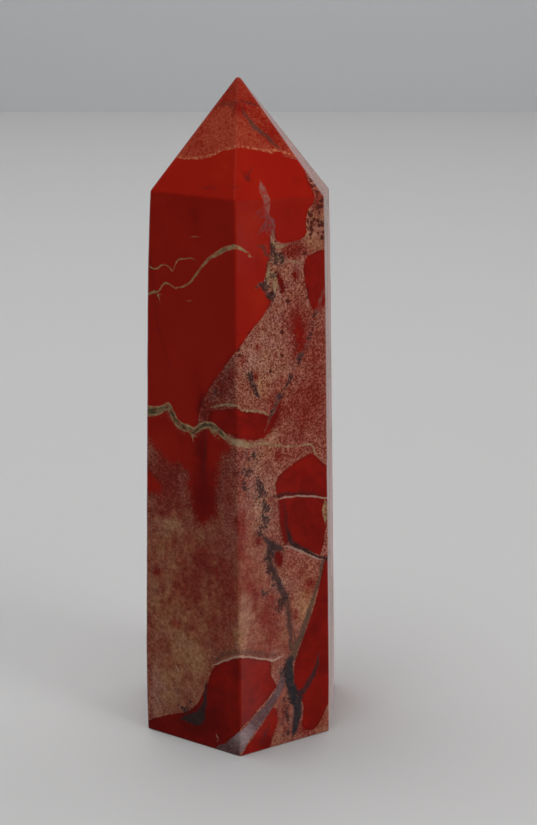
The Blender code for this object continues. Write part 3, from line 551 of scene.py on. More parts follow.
class JasperColours(bpy.types.PropertyGroup):
    """The colours of the stone."""

    red: colour("Red", "Clean red jasper", (0.335, 0.0100, 0.0043))
    red_dark: colour("Dark red", "The darker lumps and clouds", (0.155, 0.0058, 0.0040))
    red_orange: colour("Orange red", "The brighter parts of a lump", (0.425, 0.0195, 0.0055))
    rim: colour("Rim", "Maroon along the edges of the lumps", (0.085, 0.0065, 0.0055))
    cream: colour("Cream", "Pinkish cream grains between the lumps", (0.50, 0.245, 0.180))
    tan: colour("Tan", "Tan grains between the lumps", (0.52, 0.265, 0.118))
    ash: colour("Ash", "Grey-cream grains beside the crumbled cracks", (0.29, 0.190, 0.148))
    brick: colour("Brick", "The grains where the ground is red", (0.38, 0.064, 0.037))
    speck: colour("Speck", "Red-brown specks among the grains", (0.175, 0.0200, 0.0125))
    speck_red: colour("Red speck", "Red specks among the grains", (0.160, 0.0075, 0.0050))
    dot: colour("Dot", "Rounded brown dots in the paler ground", (0.10, 0.018, 0.011))
    grain: colour("Grain", "The brick-coloured grain that crosses the tip", (0.46, 0.094, 0.046))
    grain_rim: colour("Grain rim", "The dotted line along that grain's lower edge", (0.60, 0.190, 0.095))
    vein_tan: colour("Tan vein", "Edges of the tan veins", (0.36, 0.250, 0.125))
    vein_core: colour("Vein core", "Grey-green core of the wide tan veins", (0.062, 0.053, 0.027))
    olive: colour("Olive", "Olive cracks", (0.110, 0.060, 0.037))
    grey: colour("Grey", "Grey cracks", (0.060, 0.030, 0.025))
    navy: colour("Navy", "Blue-black iron stone", (0.0265, 0.0225, 0.0265))
    maroon: colour("Maroon black", "Maroon-black cracks and specks", (0.045, 0.0155, 0.0140))
    lilac: colour("Lilac grey", "The wide quartz band", (0.135, 0.056, 0.058))
    # Pale lilac also whitens the wide band where it crosses the front edge, and there it is partly painted
    # highlight.
    lilac_pale: colour("Pale lilac", "White streaks in the quartz band", (0.42, 0.32, 0.33))
    quartz: colour("Quartz", "Thin pale quartz lines", (0.50, 0.30, 0.22))


class JasperStudio(bpy.types.PropertyGroup):
    """The plain studio round the stone."""

    floor: colour("Floor", "Pale floor", (0.66, 0.655, 0.65))
    backdrop: colour("Backdrop", "Pale wall behind", (0.62, 0.625, 0.635))
    surround: colour("Surround", "Even light from all round", (0.12, 0.125, 0.13))
    gloss_back: colour("Gloss back", "What the polish mirrors from behind the stone", (0.42, 0.40, 0.39))
    gloss_front: colour("Gloss front", "What the polish mirrors from in front", (0.020, 0.019, 0.018))
    key_power: bpy.props.FloatProperty(
        name="Key power", description="Power of the soft light low on the right", default=2.3, unit="POWER")
    top_power: bpy.props.FloatProperty(
        name="Top power", description="Power of the soft light overhead", default=3.6, unit="POWER")
    wall_power: bpy.props.FloatProperty(
        name="Wall power", description="Power of the light on the backdrop", default=2.2, unit="POWER")
    glow: bpy.props.FloatProperty(
        name="Glow", description="Strength of the pale cards the front edge mirrors", default=0.3, min=0.0)
    lens: bpy.props.FloatProperty(
        name="Lens", description="Focal length of the camera in millimetres", default=70.0, min=1.0,
        unit="CAMERA")
    camera_place: bpy.props.FloatVectorProperty(
        name="Camera place", description="Where the camera stands", size=3, subtype="TRANSLATION",
        unit="LENGTH", default=(3.81 * MM, -210.12 * MM, 111.26 * MM))
    camera_pitch: bpy.props.FloatProperty(
        name="Camera pitch", description="How far the camera looks down", default=math.radians(17.583),
        subtype="ANGLE", unit="ROTATION")


# The flats of the stone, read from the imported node.

Flats = namedtuple("Flats", "sides facets base edges ridges shoulders tip")


def joined_copy(node):
    """A bmesh of the node with its doubles merged and its triangles joined up into flats."""
    stone = bmesh.new()
    stone.from_mesh(node.data)
    same_place, nearly_level = 0.002 * MM, math.radians(0.6)
    bmesh.ops.remove_doubles(stone, verts=stone.verts, dist=same_place)
    bmesh.ops.dissolve_limit(
        stone, angle_limit=nearly_level, verts=stone.verts, edges=stone.edges, use_dissolve_boundaries=False)
    return stone


def facing(normal):
    """The way a flat faces, in degrees from the viewer's side towards the right, 0 to 360."""
    return math.degrees(math.atan2(normal.x, -normal.y)) % 360.0


def read_flats(stone):
    """The planes of the six sides, the six tip facets and the base, and the lines where neighbours meet."""
    large = sorted(stone.faces, key=lambda face: -face.calc_area())[:2 * SIDES + 1]
    planes = [(face.calc_center_median().copy(), face.normal.copy()) for face in large]
    base = min(planes, key=lambda plane: plane[1].z)
    sides = sorted((p for p in planes if abs(p[1].z) < SIDE_RISE), key=lambda plane: facing(plane[1]))
    facets = sorted((p for p in planes if p[1].z >= SIDE_RISE), key=lambda plane: facing(plane[1]))
    edges = [intersect_plane_plane(*sides[k - 1], *sides[k]) for k in range(SIDES)]
    ridges = [intersect_plane_plane(*facets[k - 1], *facets[k]) for k in range(SIDES)]
    shoulders = [intersect_line_plane(on, on + way, *facets[k]).z for k, (on, way) in enumerate(edges)]
    tip = intersect_line_plane(ridges[0][0], ridges[0][0] + ridges[0][1], *facets[2])
    return Flats(sides, facets, base, edges, ridges, shoulders, tip)


def line_at_height(line, z):
    """Points on a line at heights z (mm), as an array of millimetres."""
    on, along = np.array(line[0]) / MM, np.array(line[1])
    steps = (np.asarray(z, float) - on[2]) / along[2]
    return on + steps[..., None] * along


def corner_at(flats, k, z):
    """Corner k of the stone at heights z (mm): on its long edge below the shoulder, on its ridge above it."""
    k %= SIDES
    z = np.minimum(np.asarray(z, float), flats.tip.z / MM)
    below = line_at_height(flats.edges[k], np.maximum(z, 0.0))
    above = line_at_height(flats.ridges[k], z)
    return np.where((z < flats.shoulders[k] / MM)[..., None], below, above)


def place_on_stone(flats, u, z):
    """The points (mm) on the stone's flats at places (u, z)."""
    u, z = np.asarray(u, float), np.asarray(z, float)
    points = np.zeros(u.shape + (3,))
    side = np.floor(u).astype(int) % SIDES
    part = u - np.floor(u)
    for k in range(SIDES):
        here = side == k
        left, right = corner_at(flats, k, z[here]), corner_at(flats, k + 1, z[here])
        points[here] = left + (right - left) * part[here][..., None]
    inset = np.clip(1.0 + z / BASE_DEPTH, 0.0, 1.0)
    points[..., :2] *= np.where(z < 0.0, inset, 1.0)[..., None]
    points[..., 2] = np.where(z < 0.0, 0.0, points[..., 2])
    return points


def unroll(flats, points, under):
    """The places (u, z) of points (mm) on the stone. under marks the points of the sawn base."""
    height = np.where(under, 0.0, points[:, 2])
    u = np.zeros(len(points))
    closeness = np.full(len(points), -np.inf)
    reach = np.ones(len(points))
    middle = sum(corner_at(flats, k, height) for k in range(SIDES)) / SIDES
    spoke = (points - middle)[:, :2]
    for k in range(SIDES):
        left, right = corner_at(flats, k, height)[:, :2], corner_at(flats, k + 1, height)[:, :2]
        along = right - left
        out = np.stack([along[:, 1], -along[:, 0]], 1)
        out /= np.maximum(np.linalg.norm(out, axis=1), 1e-9)[:, None]
        rim = ((left - middle[:, :2]) * out).sum(1)
        outwards = (spoke * out).sum(1) / np.maximum(rim, 1e-6)
        on_rim = middle[:, :2] + spoke / np.maximum(outwards, 1e-6)[:, None]
        part = ((on_rim - left) * along).sum(1) / np.maximum((along ** 2).sum(1), 1e-9)
        here = outwards > closeness
        closeness = np.where(here, outwards, closeness)
        u = np.where(here, k + np.clip(part, 0.0, 1.0), u)
        reach = np.where(here, outwards, reach)
    u = np.where(u > SIDES / 2, u - SIDES, u)
    z = np.where(under, -BASE_DEPTH * (1.0 - np.clip(reach, 0.0, 1.0)), points[:, 2])
    return u, z


# Drawing on the stone: distances, in millimetres, from every point of the skin to a line drawn on it.


def drawn_curve(stations, closed, smooth):
    """Stations resampled finely, as a Catmull-Rom curve if smooth and as straight runs if not."""
    stations = np.array(stations, float)
    count = len(stations)
    pieces = []
    for i in range(count if closed else count - 1):
        if closed:
            before, start, end, after = (stations[(i + j) % count] for j in (-1, 0, 1, 2))
        else:
            before, start, end, after = (stations[min(max(i + j, 0), count - 1)] for j in (-1, 0, 1, 2))
        length = math.hypot((end[0] - start[0]) * SIDE_WIDTH, end[1] - start[1])
        t = np.linspace(0.0, 1.0, max(2, int(length / CURVE_STEP) + 1), endpoint=False)[:, None]
        if smooth:
            bend = 2 * start + (end - before) * t + (2 * before - 5 * start + 4 * end - after) * t ** 2
            pieces.append(0.5 * (bend + (3 * start - before - 3 * end + after) * t ** 3))
        else:
            pieces.append(start + (end - start) * t)
    pieces.append(stations[:1] if closed else stations[-1:])
    return np.concatenate(pieces)


def split_at_edges(curve):
    """The curve with an extra station wherever it crosses one of the stone's edges."""
    stations = [curve[0]]
    for start, end in zip(curve[:-1], curve[1:]):
        low, high = sorted((start[0], end[0]))
        crossings = [c for c in range(math.floor(low) + 1, math.ceil(high)) if low < c < high]
        for c in sorted(crossings, reverse=end[0] < start[0]):
            stations.append(start + (end - start) * (c - start[0]) / (end[0] - start[0]))
        stations.append(end)
    return np.array(stations)


class Skin:
    """Every point of the skin: where it is (mm), the way it faces, and its place (u, z)."""

    def __init__(self, flats, points, normals, under):
        self.flats, self.points, self.normals = flats, points, normals
        self.u, self.z = unroll(flats, points, under)

    def near(self, route, reach):
        """Which points lie within reach (mm) of the box round a route."""
        low, high = route.min(0) - reach, route.max(0) + reach
        return np.flatnonzero(((self.points > low) & (self.points < high)).all(1))

    def measure(self, curve, reach):
        """For points near a curve: which they are, how far off (mm), on which side, and at which station."""
        route = place_on_stone(self.flats, curve[:, 0], curve[:, 1])
        near = self.near(route, reach)
        points, normals = self.points[near], self.normals[near]
        nearest = np.full(len(near), np.inf)
        side, station = np.ones(len(near)), np.zeros(len(near))
        for i in range(len(route) - 1):
            run = route[i + 1] - route[i]
            length = max(float(run @ run), 1e-12)
            t = np.clip((points - route[i]) @ run / length, 0.0, 1.0)
            off = points - route[i] - t[:, None] * run
            distance = np.sqrt((off ** 2).sum(1))
            closer = distance < nearest
            nearest = np.where(closer, distance, nearest)
            station = np.where(closer, i + t, station)
            turn = (np.cross(run, off) * normals).sum(1)
            side = np.where(closer, np.where(turn >= 0.0, 1.0, -1.0), side)
        return near, nearest, side, station

    def inside(self, outline):
        """Which points lie inside a closed outline, whichever way round the stone it is counted."""
        found = np.zeros(len(self.u), bool)
        for turn in (-SIDES, 0, SIDES):
            u = self.u + turn
            crossed = np.zeros(len(u), bool)
            for (u0, z0), (u1, z1) in zip(outline, np.roll(outline, -1, axis=0)):
                if z0 == z1:
                    continue
                between = (z0 > self.z) != (z1 > self.z)
                crossed ^= between & (u < (u1 - u0) * (self.z - z0) / (z1 - z0) + u0)
            found |= crossed
        return found


def draw_lumps(skin):
    """Distance to the nearest lump's edge, below 0 inside it, with that lump's tone and fade."""
    depth = np.full(len(skin.u), FAR)
    tone, fade = np.zeros(len(skin.u)), np.full(len(skin.u), 0.05)
    for lump in LUMPS.values():
        curve = split_at_edges(drawn_curve(lump.outline, closed=True, smooth=False))
        near, distance, _, _ = skin.measure(curve, FAR)
        inside = skin.inside(curve)
        signed = np.where(inside, -FAR, FAR)
        signed[near] = np.where(inside[near], -1.0, 1.0) * np.minimum(distance, FAR)
        nearer = signed < depth
        depth = np.where(nearer, signed, depth)
        tone = np.where(nearer, lump.tone, tone)
        fade = np.where(nearer, lump.fade, fade)
    return depth, tone, fade


def draw_veins(skin, veins):
    """For the nearest vein: (signed distance across, plain distance, half-width), then its other numbers."""
    across, away, clearance = (np.full(len(skin.u), FAR) for _ in range(3))
    half, shade, solid, crumble = (np.zeros(len(skin.u)) for _ in range(4))
    for vein in veins:
        curve = split_at_edges(drawn_curve(vein.route, closed=False, smooth=True))
        near, distance, side, station = skin.measure(curve, VEIN_REACH)
        stations = np.arange(len(curve))
        width = np.interp(station, stations, np.maximum(curve[:, 2], 0.0))
        closer = (distance - width) < clearance[near]
        chosen = near[closer]
        clearance[chosen] = (distance - width)[closer]
        across[chosen] = (distance * side)[closer]
        away[chosen] = distance[closer]
        half[chosen] = width[closer]
        shift = np.interp(station, stations, curve[:, 3])[closer] if curve.shape[1] > 3 else 0.0
        shade[chosen] = vein.shade + shift
        solid[chosen] = vein.solid
        crumble[chosen] = vein.crumble
    return np.stack([across, away, half], 1), shade, solid, crumble


def lay_stains(skin, stains, usual=0.0):
    """A soft field: the usual level with each stain added or taken away."""
    level = np.full(len(skin.u), usual)
    for stain in stains:
        middle = place_on_stone(skin.flats, [stain.u], [stain.z])[0]
        reach = 3.0 * max(stain.half_width, stain.half_height)
        near = skin.near(middle[None], reach)
        off = skin.points[near] - middle
        up = off[:, 2] / stain.half_height
        out = np.sqrt((off[:, :2] ** 2).sum(1)) / stain.half_width
        level[near] += stain.amount * np.exp(-(up ** 2 + out ** 2))
    return level


def draw_grain(skin):
    """Height above the lower edge of the brick-coloured grain, in millimetres, and below 0 outside it."""
    edge = split_at_edges(np.array(GRAIN_EDGE))
    outline = np.concatenate([edge, [(SIDES / 2, ABOVE_TIP), (-SIDES / 2, ABOVE_TIP)]])
    inside = skin.inside(outline)
    near, distance, _, _ = skin.measure(edge, GRAIN_REACH)
    depth = np.where(inside, GRAIN_REACH, -GRAIN_REACH)
    depth[near] = np.where(inside[near], 1.0, -1.0) * np.minimum(distance, GRAIN_REACH)
    return depth


# The stone's mesh.


def cut_across(stone, geometry, normal, places):
    """Cuts geometry by parallel planes through places, and returns it with the new pieces in it."""
    for place in places:
        cut = bmesh.ops.bisect_plane(stone, geom=geometry, dist=0.0001 * MM, plane_co=place, plane_no=normal)
        geometry = cut["geom"]
    return geometry


def with_edges(faces):
    """Faces with their edges and corners, as one list."""
    faces = list(faces)
    edges = {edge for face in faces for edge in face.edges}
    verts = {vert for face in faces for vert in face.verts}
    return faces + list(edges) + list(verts)


def close_set_stone(stone, flats, sizes):
    """Cuts every flat of the stone into cells fine enough to carry its markings."""
    top = flats.tip.z
    heights = [Vector((0.0, 0.0, z)) for z in np.arange(sizes.cell, top, sizes.cell)]
    cut_across(stone, with_edges(stone.faces), Vector((0.0, 0.0, 1.0)), heights)
    for k, (on, normal) in enumerate(flats.sides):
        along = Vector((-normal.y, normal.x, 0.0)).normalized()
        polished = [face for face in stone.faces if abs(face.normal.z) < BASE_FALL]
        turned = [face for face in polished if nearest_side(face, flats) == k]
        places = [on + along * step for step in np.arange(-HALF_SIDE * MM, HALF_SIDE * MM, sizes.cell)]
        cut_across(stone, with_edges(turned), along, places)
    under = [face for face in stone.faces if face.normal.z < -BASE_FALL]
    for axis in (Vector((1.0, 0.0, 0.0)), Vector((0.0, 1.0, 0.0))):
        places = [axis * step for step in np.arange(-HALF_BASE * MM, HALF_BASE * MM, sizes.base_cell)]
        pieces = cut_across(stone, with_edges(under), axis, places)
        under = [piece for piece in pieces if isinstance(piece, bmesh.types.BMFace)]


def nearest_side(face, flats):
    """Which side of the stone a face belongs to, by the way it faces."""
    turn = facing(face.normal)
    gaps = [abs((turn - facing(normal) + 180.0) % 360.0 - 180.0) for _, normal in flats.sides]
    return gaps.index(min(gaps))


def swell(skin, flats, sizes):
    """How far out (mm) each point moves for the bow of the sides and the ripple of the polish."""
    shoulder = sum(flats.shoulders) / SIDES / MM
    t = np.clip(skin.z / shoulder, 0.0, 1.0)
    profile = 1.0 - (2.0 * t - 1.0) ** 6
    left_edge, left_spread = -1.0, 0.45
    left = np.exp(-((skin.u - left_edge) / left_spread) ** 2)
    x, y, z = skin.points.T
    waves = np.sin(z / 2.3 + x / 3.1) * np.sin(y / 2.7 - z / 5.9) + 0.6 * np.sin(z / 1.1 + y / 1.7 + x / 2.1)
    calm = np.clip(skin.z / 4.0, 0.0, 1.0)
    return (sizes.bow + sizes.left_bow * left) / MM * profile + sizes.ripple / MM * waves * calm


def add_stone(sizes):
    """The finished skin as a mesh object, with the markings in its attributes."""
    stone = joined_copy(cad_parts[STONE_NODE])
    flats = read_flats(stone)
    close_set_stone(stone, flats, sizes)
    stone.normal_update()
    for face in stone.faces:
        face.smooth = True
        face.material_index = 1 if face.normal.z < -BASE_FALL else 0
    mesh = bpy.data.meshes.new("tower_skin")
    stone.to_mesh(mesh)
    stone.free()

    count = len(mesh.vertices)
    points, normals = np.empty(count * 3), np.empty(count * 3)
    mesh.vertices.foreach_get("co", points)
    mesh.vertices.foreach_get("normal", normals)
    points, normals = points.reshape(-1, 3) / MM, normals.reshape(-1, 3)
    under = (points[:, 2] < 0.02) & (normals[:, 2] < -0.5)
    skin = Skin(flats, points, normals, under)
    write_markings(mesh, skin)

    out = normals.copy()
    out[:, 2] = 0.0
    moved = points + out * np.where(under, 0.0, swell(skin, flats, sizes))[:, None]
    mesh.vertices.foreach_set("co", (moved * MM).ravel())
    mesh.update()
    tower = bpy.data.objects.new("tower_skin", mesh)
    bpy.context.scene.collection.objects.link(tower)
    return tower


def write_markings(mesh, skin):
    """Puts every drawn marking on the mesh as an attribute the materials read."""
    depth, tone, fade = draw_lumps(skin)
    tan, tan_shade, _, _ = draw_veins(skin, TAN_VEINS)
    dark, dark_shade, dark_solid, dark_crumble = draw_veins(skin, DARK_VEINS)
    pale, pale_shade, pale_solid, _ = draw_veins(skin, PALE_VEINS)
    singles = {
        "lump_depth": depth,
        "lump_tone": tone,
        "lump_fade": fade,
        "grain_depth": draw_grain(skin),
        "tan_shade": tan_shade,
        "dark_shade": dark_shade,
        "dark_solid": dark_solid,
        "dark_crumble": dark_crumble,
        "pale_shade": pale_shade,
        "pale_solid": pale_solid,
        "red_stain": lay_stains(skin, RED_STAINS, USUAL_RED),
        "tan_stain": lay_stains(skin, TAN_STAINS, USUAL_TAN),
        "dark_stain": lay_stains(skin, DARK_STAINS),
        "dot_stain": lay_stains(skin, DOT_STAINS),
        "softness": np.clip(lay_stains(skin, SOFT_STAINS), 0.0, 0.95),
        "red_cloud": lay_stains(skin, RED_CLOUDS),
        "grain_thin": lay_stains(skin, THIN_GRAIN_STAINS),
    }
    for name, values in singles.items():
        attribute = mesh.attributes.new(name, "FLOAT", "POINT")
        attribute.data.foreach_set("value", values.astype(np.float32))
    for name, values in {"tan_vein": tan, "dark_vein": dark, "pale_vein": pale}.items():
        attribute = mesh.attributes.new(name, "FLOAT_VECTOR", "POINT")
        attribute.data.foreach_set("vector", values.astype(np.float32).ravel())


# The materials. Distances in them are millimetres.

NUMBER, VECTOR, COLOUR = "NodeSocketFloat", "NodeSocketVector", "NodeSocketColor"

# Sizes of the grains and specks.
NET_GRAIN = 0.22
BLURRED_GRAIN = 0.55
TIP_GRAIN = 0.24
IRON_SPECK = 0.30


class Wiring:
    """Adds nodes to a tree and joins them up. A number, a colour or another node's output feeds any input."""

    def __init__(self, tree):
        self.tree = tree
        self.column = 0

    def add(self, kind, **settings):
        """A new node, set beside the last one."""
        node = self.tree.nodes.new(kind)
        node.location = (self.column * 40.0, -(self.column % 7) * 160.0)
        self.column += 1
        for name, value in settings.items():
            setattr(node, name, value)
        return node

    def feed(self, socket, value):
        """Joins an output to the socket, or sets the socket to a plain value."""
        if isinstance(value, bpy.types.NodeSocket):
            self.tree.links.new(value, socket)
        else:
            socket.default_value = value

    def math(self, operation, *values, clamp=False):
        """One sum on numbers."""
        node = self.add("ShaderNodeMath", operation=operation, use_clamp=clamp)
        for socket, value in zip(node.inputs, values):
            self.feed(socket, value)
        return node.outputs[0]

    def product(self, value, *factors):
        """All the numbers multiplied together."""
        for factor in factors:
            value = self.math("MULTIPLY", value, factor)
        return value

    def total(self, value, *others):
        """All the numbers added up."""
        for other in others:
            value = self.math("ADD", value, other)
        return value

    def vector(self, operation, *values):
        """One sum on vectors."""
        node = self.add("ShaderNodeVectorMath", operation=operation)
        for socket, value in zip(node.inputs, values):
            self.feed(socket, value)
        return node.outputs[0]

    def scaled(self, vector, factor):
        """The vector made longer by factor."""
        node = self.add("ShaderNodeVectorMath", operation="SCALE")
        self.feed(node.inputs[0], vector)
        self.feed(node.inputs["Scale"], factor)
        return node.outputs[0]

    def combined(self, value):
        """A grey whose brightness is value."""
        node = self.add("ShaderNodeCombineXYZ")
        for socket in node.inputs:
            self.feed(socket, value)
        return node.outputs[0]

    def first(self, vector, index=0):
        """One number of a vector or colour: the first, unless index says which."""
        node = self.add("ShaderNodeSeparateXYZ")
        self.feed(node.inputs[0], vector)
        return node.outputs[index]

    def ramp(self, value, low, high, start=0.0, end=1.0, smooth=True):
        """value from low to high, taken to start to end."""
        node = self.add("ShaderNodeMapRange", interpolation_type="SMOOTHSTEP" if smooth else "LINEAR")
        names = ("Value", "From Min", "From Max", "To Min", "To Max")
        for name, item in zip(names, (value, low, high, start, end)):
            self.feed(node.inputs[name], item)
        return node.outputs[0]

    def mix(self, factor, first, second, blend="MIX"):
        """The first colour with the second over it by factor."""
        node = self.add("ShaderNodeMix", data_type="RGBA", blend_type=blend)
        self.feed(node.inputs[0], factor)
        self.feed(node.inputs[6], first)
        self.feed(node.inputs[7], second)
        return node.outputs[2]

    def brighten(self, tint, noise, amount):
        """The colour made lighter and darker by the noise, by amount at most."""
        level = self.ramp(noise, 0.25, 0.75, 1.0 - amount, 1.0 + amount, smooth=False)
        return self.mix(1.0, tint, self.combined(level), "MULTIPLY")

    def noise(self, vector, scale, detail=2.0, roughness=0.5, distortion=0.0):
        """A cloudy noise between 0 and 1, with scale clouds to the millimetre."""
        node = self.add("ShaderNodeTexNoise")
        self.feed(node.inputs["Vector"], vector)
        names = ("Scale", "Detail", "Roughness", "Distortion")
        for name, value in zip(names, (scale, detail, roughness, distortion)):
            self.feed(node.inputs[name], value)
        return node.outputs[0]

    def waver(self, *settings):
        """The same noise about zero."""
        return self.math("SUBTRACT", self.noise(*settings), 0.5)

    def noise_colour(self, vector, scale):
        """Three noises at once, as a vector about zero."""
        node = self.add("ShaderNodeTexNoise")
        self.feed(node.inputs["Vector"], vector)
        node.inputs["Scale"].default_value = scale
        return self.vector("SUBTRACT", node.outputs[1], (0.5, 0.5, 0.5))

    def cells(self, vector, scale):
        """Scattered cells, with scale of them to the millimetre."""
        node = self.add("ShaderNodeTexVoronoi")
        self.feed(node.inputs["Vector"], vector)
        self.feed(node.inputs["Scale"], scale)
        return node

    def attribute(self, name, vector=False):
        """A marking that the mesh carries."""
        node = self.add("ShaderNodeAttribute", attribute_name=name)
        return node.outputs["Vector" if vector else "Fac"]

    def group(self, tree, **values):
        """A placed node group, with its inputs fed by name."""
        node = self.add("ShaderNodeGroup", node_tree=tree)
        for name, value in values.items():
            self.feed(node.inputs[name.replace("_", " ").capitalize()], value)
        return node.outputs


def new_group(name, inputs, outputs):
    """An empty node group with named sockets, and the wiring to fill it with."""
    tree = bpy.data.node_groups.new(name, "ShaderNodeTree")
    for title, kind in inputs:
        tree.interface.new_socket(title, in_out="INPUT", socket_type=kind)
    for title, kind in outputs:
        tree.interface.new_socket(title, in_out="OUTPUT", socket_type=kind)
    wiring = Wiring(tree)
    return tree, wiring, wiring.add("NodeGroupInput").outputs, wiring.add("NodeGroupOutput").inputs


def vein_group():
    """Turns a drawn vein (across, away, half-width) into a band, its core and the way across it."""
    tree, w, given, result = new_group(
        "Vein", [("Vein", VECTOR), ("Wander", NUMBER), ("Edge", NUMBER)],
        [("Band", NUMBER), ("Halo", NUMBER), ("Core", NUMBER), ("Across", NUMBER)])
    parts = w.add("ShaderNodeSeparateXYZ")
    w.feed(parts.inputs[0], given["Vein"])
    across = w.total(parts.outputs[0], given["Wander"])
    distance = w.math("ABSOLUTE", across)
    half = parts.outputs[2]
    near = w.ramp(parts.outputs[1], w.total(half, 0.25), w.total(half, 0.6), 1.0, 0.0)
    inner, outer = w.math("SUBTRACT", half, given["Edge"]), w.total(half, given["Edge"])
    band = w.ramp(distance, inner, outer, 1.0, 0.0)
    real = w.ramp(half, 0.01, 0.04)
    w.feed(result["Band"], w.product(band, near, real))
    spread = w.total(half, w.math("MINIMUM", w.product(half, 1.5), 0.4))
    halo = w.ramp(distance, w.product(half, 0.6), spread, 1.0, 0.0)
    w.feed(result["Halo"], w.product(halo, near, real))
    share = w.math("DIVIDE", distance, w.math("MAXIMUM", half, 0.02))
    w.feed(result["Core"], w.product(w.ramp(share, 0.35, 0.7, 1.0, 0.0), w.ramp(half, 0.2, 0.38)))
    w.feed(result["Across"], across)
    return tree


def speckle_group():
    """Fine grains whose cover goes from none to all as Cover goes from 0 to 1."""
    tree, w, given, result = new_group(
        "Speckle", [("Place", VECTOR), ("Size", NUMBER), ("Cover", NUMBER), ("Crispness", NUMBER)],
        [("Grains", NUMBER)])
    fineness = w.math("DIVIDE", 1.0, given["Size"])
    grains = w.product(w.noise(given["Place"], fineness, 3.0, 0.62, 0.4), 0.85)
    dots = w.cells(given["Place"], w.product(fineness, 0.62)).outputs["Distance"]
    grains = w.total(grains, w.product(w.math("SUBTRACT", 0.88, dots), 0.18))
    raised = w.total(grains, w.product(w.math("SUBTRACT", given["Cover"], 0.5), 0.62))
    spread = w.math("DIVIDE", 0.09, given["Crispness"])
    w.feed(result["Grains"], w.ramp(raised, w.math("SUBTRACT", 0.5, spread), w.total(0.5, spread)))
    return tree


COLOUR_INPUTS = (
    "Red", "Red dark", "Red orange", "Rim", "Cream", "Tan", "Ash", "Brick", "Speck", "Speck red", "Dot",
    "Grain", "Grain rim", "Vein tan", "Vein core", "Olive", "Grey", "Navy", "Maroon", "Lilac", "Lilac pale",
    "Quartz")

# The noises that the markings follow, each about zero.
Noises = namedtuple("Noises", "slow quick wander patches clouds veils")
# The dark iron stone: its vein's outputs, how far it has crumbled, and its specks scattered or crumbled off.
Iron = namedtuple("Iron", "vein crumble scattered crumbs")


def shared_noises(w, place):
    """The noises of the whole stone."""
    slow = w.waver(place, 0.8, 2.0, 0.5)
    quick = w.waver(place, 3.5, 2.0, 0.6)
    return Noises(
        slow=slow, quick=quick, wander=w.total(w.product(slow, 0.5), w.product(quick, 0.34)),
        patches=w.waver(place, 0.33, 3.0, 0.55), clouds=w.waver(place, 0.13, 3.0, 0.5, 0.5),
        veils=w.waver(place, 0.45, 5.0, 0.62, 1.4))


def find_iron(w, place, noises, vein):
    """Where the dark iron stone lies."""
    drawn = w.attribute("dark_vein", vector=True)
    dark = w.group(vein, Vein=drawn, Wander=w.product(noises.wander, 1.3), Edge=0.15)
    crumble = w.attribute("dark_crumble")
    clumps = w.ramp(w.noise(place, 0.75, 3.0, 0.65), 0.38, 0.6, 0.25, 1.2)
    scattered = w.product(w.attribute("dark_stain"), 0.75, clumps)
    return Iron(dark, crumble, scattered, crumbs=w.product(dark["Halo"], crumble, clumps))


def draw_ground(w, given, place, noises, iron, speckle):
    """The ground's colour, its grains as they show, and its finest net of grains."""
    softness = w.attribute("softness")
    blotches = w.waver(w.vector("MULTIPLY", place, (1.0, 1.0, 0.6)), 0.65, 4.0, 0.66)
    redness = w.total(w.attribute("red_stain"), w.product(noises.patches, 0.5))
    blotched = w.product(blotches, w.ramp(softness, 0.0, 0.6, 1.1, 1.7))
    redness = w.math("ADD", redness, blotched, clamp=True)

    drift = w.product(w.waver(place, 0.45, 3.0, 0.6), 2.0)
    tan_cover = w.math("ADD", w.attribute("tan_stain"), drift, clamp=True)
    pale = w.mix(tan_cover, given["Cream"], given["Tan"])
    pale = w.mix(redness, pale, given["Brick"])
    pale = w.brighten(pale, w.noise(place, 1.3, 4.0, 0.7), 0.35)
    ashen = w.math("ADD", w.product(iron.scattered, 0.9), w.product(iron.crumbs, 0.9), clamp=True)
    pale = w.mix(w.product(ashen, 0.8), pale, given["Ash"])

    specks = w.mix(redness, given["Speck"], given["Speck red"])
    cover = w.ramp(redness, 0.0, 1.0, 0.47, 0.62, smooth=False)
    net = w.group(speckle, Place=place, Size=NET_GRAIN, Cover=cover, Crispness=0.6)["Grains"]
    blurred = w.group(speckle, Place=place, Size=BLURRED_GRAIN, Cover=cover, Crispness=0.25)["Grains"]
    grains = w.total(w.product(net, w.math("SUBTRACT", 1.0, softness)), w.product(blurred, softness))
    return w.mix(grains, pale, specks), grains, net


def draw_dots(w, given, place, shown):
    """Rounded dark dots in the ground."""
    warped = w.vector("ADD", place, w.scaled(w.noise_colour(place, 2.2), 0.35))
    dots = w.cells(warped, 1.45)
    rounded = w.ramp(dots.outputs["Distance"], 0.38, 0.56, 1.0, 0.0)
    chosen = w.math("LESS_THAN", w.first(dots.outputs["Color"]), w.attribute("dot_stain"))
    return w.mix(w.product(rounded, chosen), shown, given["Dot"])


def clean_red(w, given, place, noises):
    """Where the lumps of clean red lie, and their colour, a little darker along their edges."""
    fade = w.attribute("lump_fade")
    roam = w.total(w.product(noises.wander, 0.55), w.product(noises.quick, w.product(fade, 3.5)))
    edge = w.total(w.attribute("lump_depth"), roam)
    lump = w.ramp(edge, w.product(fade, -1.0), w.math("MAXIMUM", fade, 0.03), 1.0, 0.0)
    tone = w.total(w.product(w.attribute("lump_tone"), 0.5), w.product(noises.clouds, 0.8),
                   w.product(w.attribute("red_cloud"), 0.6), w.product(noises.veils, 0.7))
    red = w.mix(w.ramp(tone, -0.8, 0.0), given["Red dark"], given["Red"])
    red = w.mix(w.ramp(tone, 0.0, 0.8), red, given["Red orange"])
    rim = w.product(w.ramp(edge, -0.5, -0.05), w.ramp(w.noise(place, 0.7, 2.0), 0.4, 0.7, 0.1, 0.65))
    return lump, w.mix(rim, red, given["Rim"])


